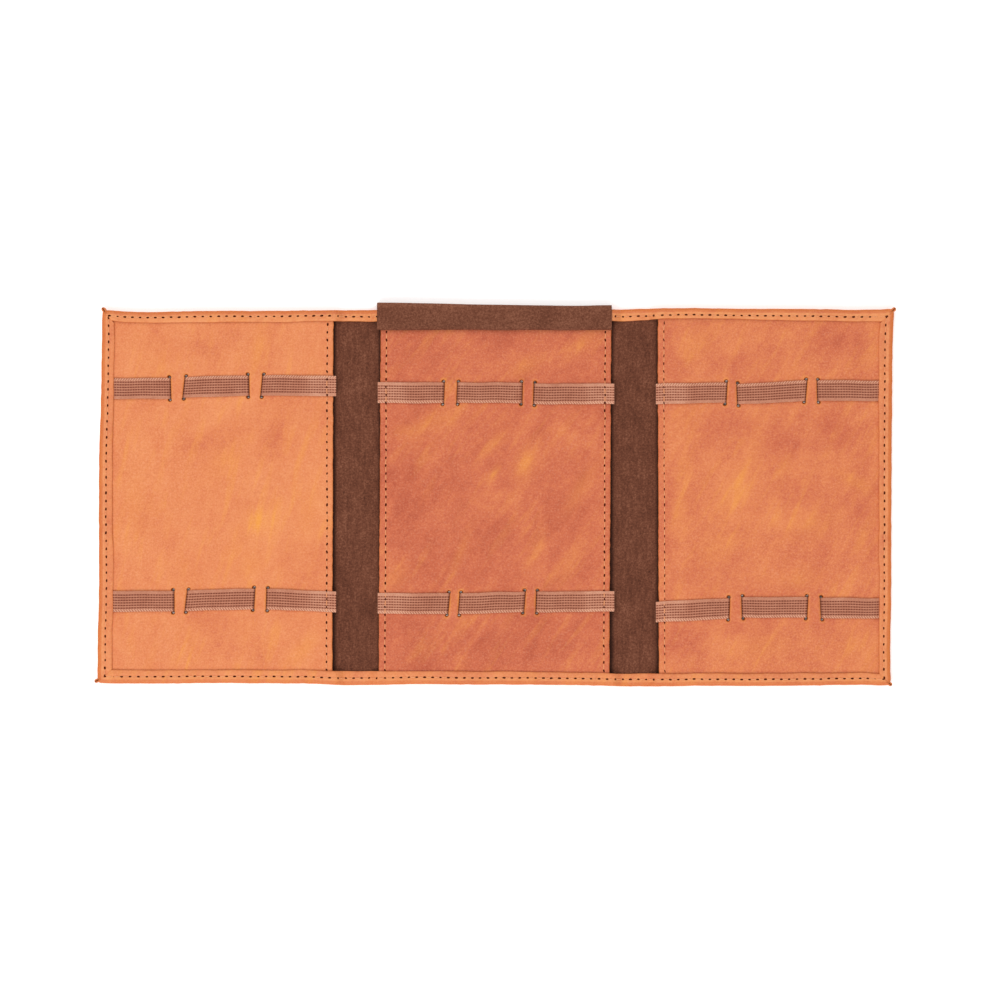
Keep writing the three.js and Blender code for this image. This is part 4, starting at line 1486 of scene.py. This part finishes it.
def build_flap():
    xs = filled([FLAP_LEFT, FLAP_LEFT + 0.4, FLAP_RIGHT - 0.4, FLAP_RIGHT], lambda x: 1.3)
    for (name, (first, second, start, end, nodes)), path in zip(FLAP_PARTS.items(), flap_paths()):
        section = flap_section(path)
        x, y = np.meshgrid(xs, section[:, 0], indexing="ij")
        z = np.tile(section[:, 1], (len(xs), 1))
        top_side = between(y, FLAP_CUT_Y + 1, FLAP_TAIL_Y - 1)
        low_side = (1 - between(y, FLAP_FOLD[1] - 1, FLAP_FOLD[1] + 3)) * between(z, 5.0, 5.9)
        y = y + top_side * (curve(x, *FLAP_TOP_EDGE) + UNEVENNESS * FLAP_WAVE(x, 5.0))
        y = y + low_side * FLAP_WAVE_HEIGHT * (FLAP_WAVE(x, 60.0) - 1)
        z = z + FLAP_WAVE_HEIGHT * FLAP_WAVE(x, 3 * y) * between(z, 6.0, 6.5)
        points, faces = loft(np.stack([x, y, z], axis=-1))
        at_ends = np.isin(points[:, 0], (xs[0], xs[-1]))
        under_hem = (points[:, 2] < 5.6) * (points[:, 1] < FLAP_CUT_Y)
        values = {
            "shade": 0.25 * at_ends + 0.5 * under_hem,
            "streaks": np.zeros(len(points)),
            # the flap is lighter all over in its own colour, and more so near its top fold, where the extra
            # lightness is a painted sheen
            "lift_and_painted_sheen": 0.09 + 0.12 * between(points[:, 1], 93.0, 97.0),
        }
        piece = make_mesh(f"microfibre_flap_{name}", points, faces, values)
        dress(piece, "microfibre")
        start, end = ((0.0, y_mm * MM, z_mm * MM) for y_mm, z_mm in (start, end))
        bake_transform(piece)
        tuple(start)
        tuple(end)
        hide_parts(*nodes)
        path_length(path) * MM


# ---------------------------------------------------------------- the stitching

STITCH_PITCH = 3.95
STITCH_LENGTH = 2.7
THREAD_RADIUS = 0.25
# A thread's arch from end to end: the share of its length, its rise, and its share of full thickness.
THREAD_ARCH = (
    (0.0, -0.24, 0.5), (0.1, -0.02, 0.85), (0.25, 0.1, 1.0), (0.5, 0.16, 1.04),
    (0.75, 0.1, 1.0), (0.9, -0.02, 0.85), (1.0, -0.24, 0.5),
)
# On the back the threads are pulled further into the leather.
FRONT, BACK = 1.0, -0.55
HOLE_HALF_LENGTH = 0.85
HEM_HOLE_HALF_WIDTH = 0.6
HOLE_HALF_DEPTH = 0.1


def turns(count):
    """Evenly spaced directions round a circle, as cosine and sine."""
    return [(math.cos(a), math.sin(a)) for a in np.linspace(0, 2 * math.pi, count, endpoint=False)]


def stitches(ends, facing):
    """Points and faces of arched threads between pairs of ends on the surface, which faces up or down."""
    up, radius = np.array([0.0, 0.0, facing]), THREAD_RADIUS
    bodies = []
    for start, end in np.asarray(ends, float):
        sideways = np.cross((end - start) / np.linalg.norm(end - start), up)
        bodies.append([
            [
                start + (end - start) * share + up * rise + radius * girth * (cos * sideways + sin * up)
                for cos, sin in turns(8)
            ]
            for share, rise, girth in THREAD_ARCH
        ])
    return gathered(bodies)


def needle_holes(spots, half_width):
    """Points and faces of flat dark ovals, painted shade for the needle holes: spots is a list of (place,
    direction along the row).
    """
    random = np.random.default_rng(len(spots))
    bodies = []
    for place, along in spots:
        turn = random.normal(0.0, 0.16)
        along = np.array([along[0] - turn * along[1], along[1] + turn * along[0], 0.0])
        along *= random.uniform(0.82, 1.12) / math.hypot(*along[:2])
        sideways = np.array([-along[1], along[0], 0.0])
        rings = []
        for latitude in (-60, -20, 20, 60):
            flat, height = math.cos(math.radians(latitude)), math.sin(math.radians(latitude))
            middle = place + np.array([0.0, 0.0, HOLE_HALF_DEPTH * height])
            rings.append([
                middle + flat * (cos * HOLE_HALF_LENGTH * along + sin * half_width * sideways)
                for cos, sin in turns(12)
            ])
        bodies.append(rings)
    return gathered(bodies)


def seam_row(where, first, last):
    """Stitches and the holes between them, spaced evenly along a row: where(s) gives a place on it."""
    count = round((last - first) / STITCH_PITCH)
    pitch = (last - first) / count
    random = np.random.default_rng(round(abs(first * 7 + last)))
    start = where(first)
    ends, spots = [], [(start, where(first + 1) - start)]
    for n in range(count):
        middle = first + (n + 0.5) * pitch + random.uniform(-0.12, 0.12)
        half = STITCH_LENGTH / 2 + random.uniform(-0.1, 0.1)
        a, b = where(middle - half), where(middle + half)
        sway = random.uniform(-0.07, 0.07, 2)
        a[:2] += sway
        b[:2] -= sway
        ends.append((a, b))
        spot = where(first + (n + 1) * pitch)
        spots.append((spot, b - a))
    return ends, spots


def hem_row(side):
    """A row of stitches along a hem, given the place along the side."""
    edge = (HALF_HEIGHT if side in SIDES_ALONG_X else HALF_WIDTH)
    sign = 1 if side in ("top", "right") else -1

    def where(along):
        inset = stitch_inset(side, along)
        across = sign * (edge - inset)
        x, y = outline(along, across) if side in SIDES_ALONG_X else outline(across, along)
        return np.array([x, y, lip_height(side, along, inset)], float)
    return where


RAW_EDGE_INSET = 3.0
SEAM_END = HALF_HEIGHT - 7.2


def edge_row(panel, at_high_edge):
    """A row of stitches beside a panel's raw edge, passing over the ends of the straps."""
    _, low, high, _, _ = PANELS[panel]
    straight = high - RAW_EDGE_INSET if at_high_edge else low + RAW_EDGE_INSET

    def where(along):
        x, y = panel_placed(panel, straight, along)
        z = panel_height(panel, straight, along) - 0.03
        for end in ("top", "bottom"):
            from_middle = abs(along - strap_middle(f"{panel}_{end}", straight))
            z = z + (1 - between(from_middle, 4.9, 5.9)) * (STRAP_TOP + 0.02 - z)
        return np.array([x, y, z], float)
    return where


def in_a_fold(spot):
    """Whether a place on the top or bottom hem lies in one of the four folds."""
    from_fold = min(abs(abs(spot[0]) - fold) for fold in (INNER_FOLD, OUTER_FOLD))
    return abs(spot[1]) > SEAM_END and from_fold < BEND + 1


def on_the_back(ends, spots):
    """The same row seen on the back of the cover, with no holes in the folds, where it is stretched."""
    level = np.array([1.0, 1.0, 0.0])
    lowered = [(a * level, b * level) for a, b in ends]
    return lowered, [(spot * level, along) for spot, along in spots if not in_a_fold(spot)]


def make_seam(name, ends, spots, nodes, hole_half_width):
    """The threads and the holes of one seam, front and back, as two pieces."""
    back_ends, back_spots = on_the_back(ends, spots)
    front, faces = stitches(ends, FRONT)
    back, back_faces = stitches(back_ends, BACK)
    faces += [tuple(len(front) + v for v in face) for face in back_faces]
    threads = make_mesh(f"thread_{name}", np.concatenate([front, back]), faces)
    dress(threads, "thread")
    points, faces = needle_holes(spots + back_spots, hole_half_width)
    holes = make_mesh(f"needle_holes_{name}", points, faces)
    dress(holes, "hole")
    for piece in (threads, holes):
        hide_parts(*nodes)
    return threads, holes


# The nodes that each part of the seam round the hem takes the place of.
HEM_SEAM_NODES = {
    "left": ["seam_hem_left"],
    "centre_left": [
        "seam_hem_left_spine_top", "seam_hem_left_spine_bottom",
        "seam_hem_centre_top", "seam_hem_centre_bottom",
    ],
    "centre_right": ["seam_hem_centre_top", "seam_hem_centre_bottom"],
    "right": ["seam_hem_right_spine_top", "seam_hem_right_spine_bottom", "seam_hem_right"],
}
HEM_SEAM_INSET = 4.0
# The seams beside the raw edges: panel, whether at its right edge, and half the width of its holes.
EDGE_SEAMS = {
    "left_inner": ("left", True, 0.5),
    "centre_left": ("centre", False, 0.48),
    "centre_right": ("centre", True, 0.46),
    "right_inner": ("right", False, 0.3),
}


def build_seams():
    rows = {quarter: ([], []) for quarter in QUARTERS}
    for side in ("top", "bottom", "left", "right"):
        half = (HALF_WIDTH if side in SIDES_ALONG_X else HALF_HEIGHT) - HEM_SEAM_INSET
        ends, spots = seam_row(hem_row(side), -half, half)
        for pair in ends:
            rows[quarter_at((pair[0][0] + pair[1][0]) / 2)][0].append(pair)
        for spot in spots:
            rows[quarter_at(spot[0][0])][1].append(spot)
    for quarter, (ends, spots) in rows.items():
        pieces = make_seam(f"hem_{quarter}", ends, spots, HEM_SEAM_NODES[quarter], HEM_HOLE_HALF_WIDTH)
        for piece in pieces:
            bend_quarter(piece, quarter)

    for name, (panel, at_high_edge, hole_half_width) in EDGE_SEAMS.items():
        ends, spots = seam_row(edge_row(panel, at_high_edge), -SEAM_END, SEAM_END)
        for piece in make_seam(name, ends, spots, [f"seam_{name}"], hole_half_width):
            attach(piece, PANELS[panel][0])


def dress_boards():
    for panel in PANELS:
        plate = frame["nodes"][f"board_{panel}"]
        plate.data.materials.clear()
        plate.data.materials.append(MATERIALS["board"])


# ---------------------------------------------------------------- camera, light and floor

CAMERA_OVER = (-0.25 * MM, 0.75 * MM)
VIEW_WIDTH = 0.4955
LENS = 100.0
SENSOR = 36.0
FLOOR_HALF = 3.0
FLOOR_Z = -0.3 * MM
# The floor paper is lit from below as well, so that it stays white beside the case.
FLOOR_GLOW = 0.32
SKY = 0.62
# Each lamp's place, size and power. It points at the middle of the case.
LAMPS = {
    "key": ((-0.4, -1.3, 1.7), 1.3, 21.0),
    "fill": ((-0.3, 1.3, 1.7), 1.5, 11.0),
}


def make_camera():
    camera = bpy.data.cameras.new("camera")
    camera.lens = LENS
    camera.sensor_width = SENSOR
    eye = linked("camera", camera)
    eye.location = (*CAMERA_OVER, VIEW_WIDTH * LENS / SENSOR + PANEL_TOP * MM)
    bpy.context.scene.camera = eye


def make_floor():
    mesh = bpy.data.meshes.new("floor")
    corners = [(x * FLOOR_HALF, y * FLOOR_HALF, FLOOR_Z) for x, y in ((-1, -1), (1, -1), (1, 1), (-1, 1))]
    mesh.from_pydata(corners, [], [(0, 1, 2, 3)])
    mesh.materials.append(floor_paper())
    linked("floor", mesh)


def make_light():
    world = bpy.data.worlds.new("studio")
    bpy.context.scene.world = world
    world.use_nodes = True
    world.node_tree.nodes["Background"].inputs["Color"].default_value = (1.0, 1.0, 1.0, 1.0)
    world.node_tree.nodes["Background"].inputs["Strength"].default_value = SKY
    for name, (place, size, power) in LAMPS.items():
        light = bpy.data.lights.new(name, "AREA")
        light.size = size
        light.energy = power
        lamp = linked(name, light)
        lamp.location = place
        x, y, z = (-v for v in place)
        lamp.rotation_euler = (math.acos(-z / math.hypot(x, y, z)), 0.0, math.atan2(y, x) - math.pi / 2)


make_camera()
make_floor()
make_light()
bpy.context.scene.view_settings.view_transform = "Standard"
build_cover()
build_corner_folds()
build_lining()
for panel_name in PANELS:
    build_panel(panel_name)
for strap_name in STRAPS:
    build_strap(strap_name)
build_flap()
build_seams()
dress_boards()
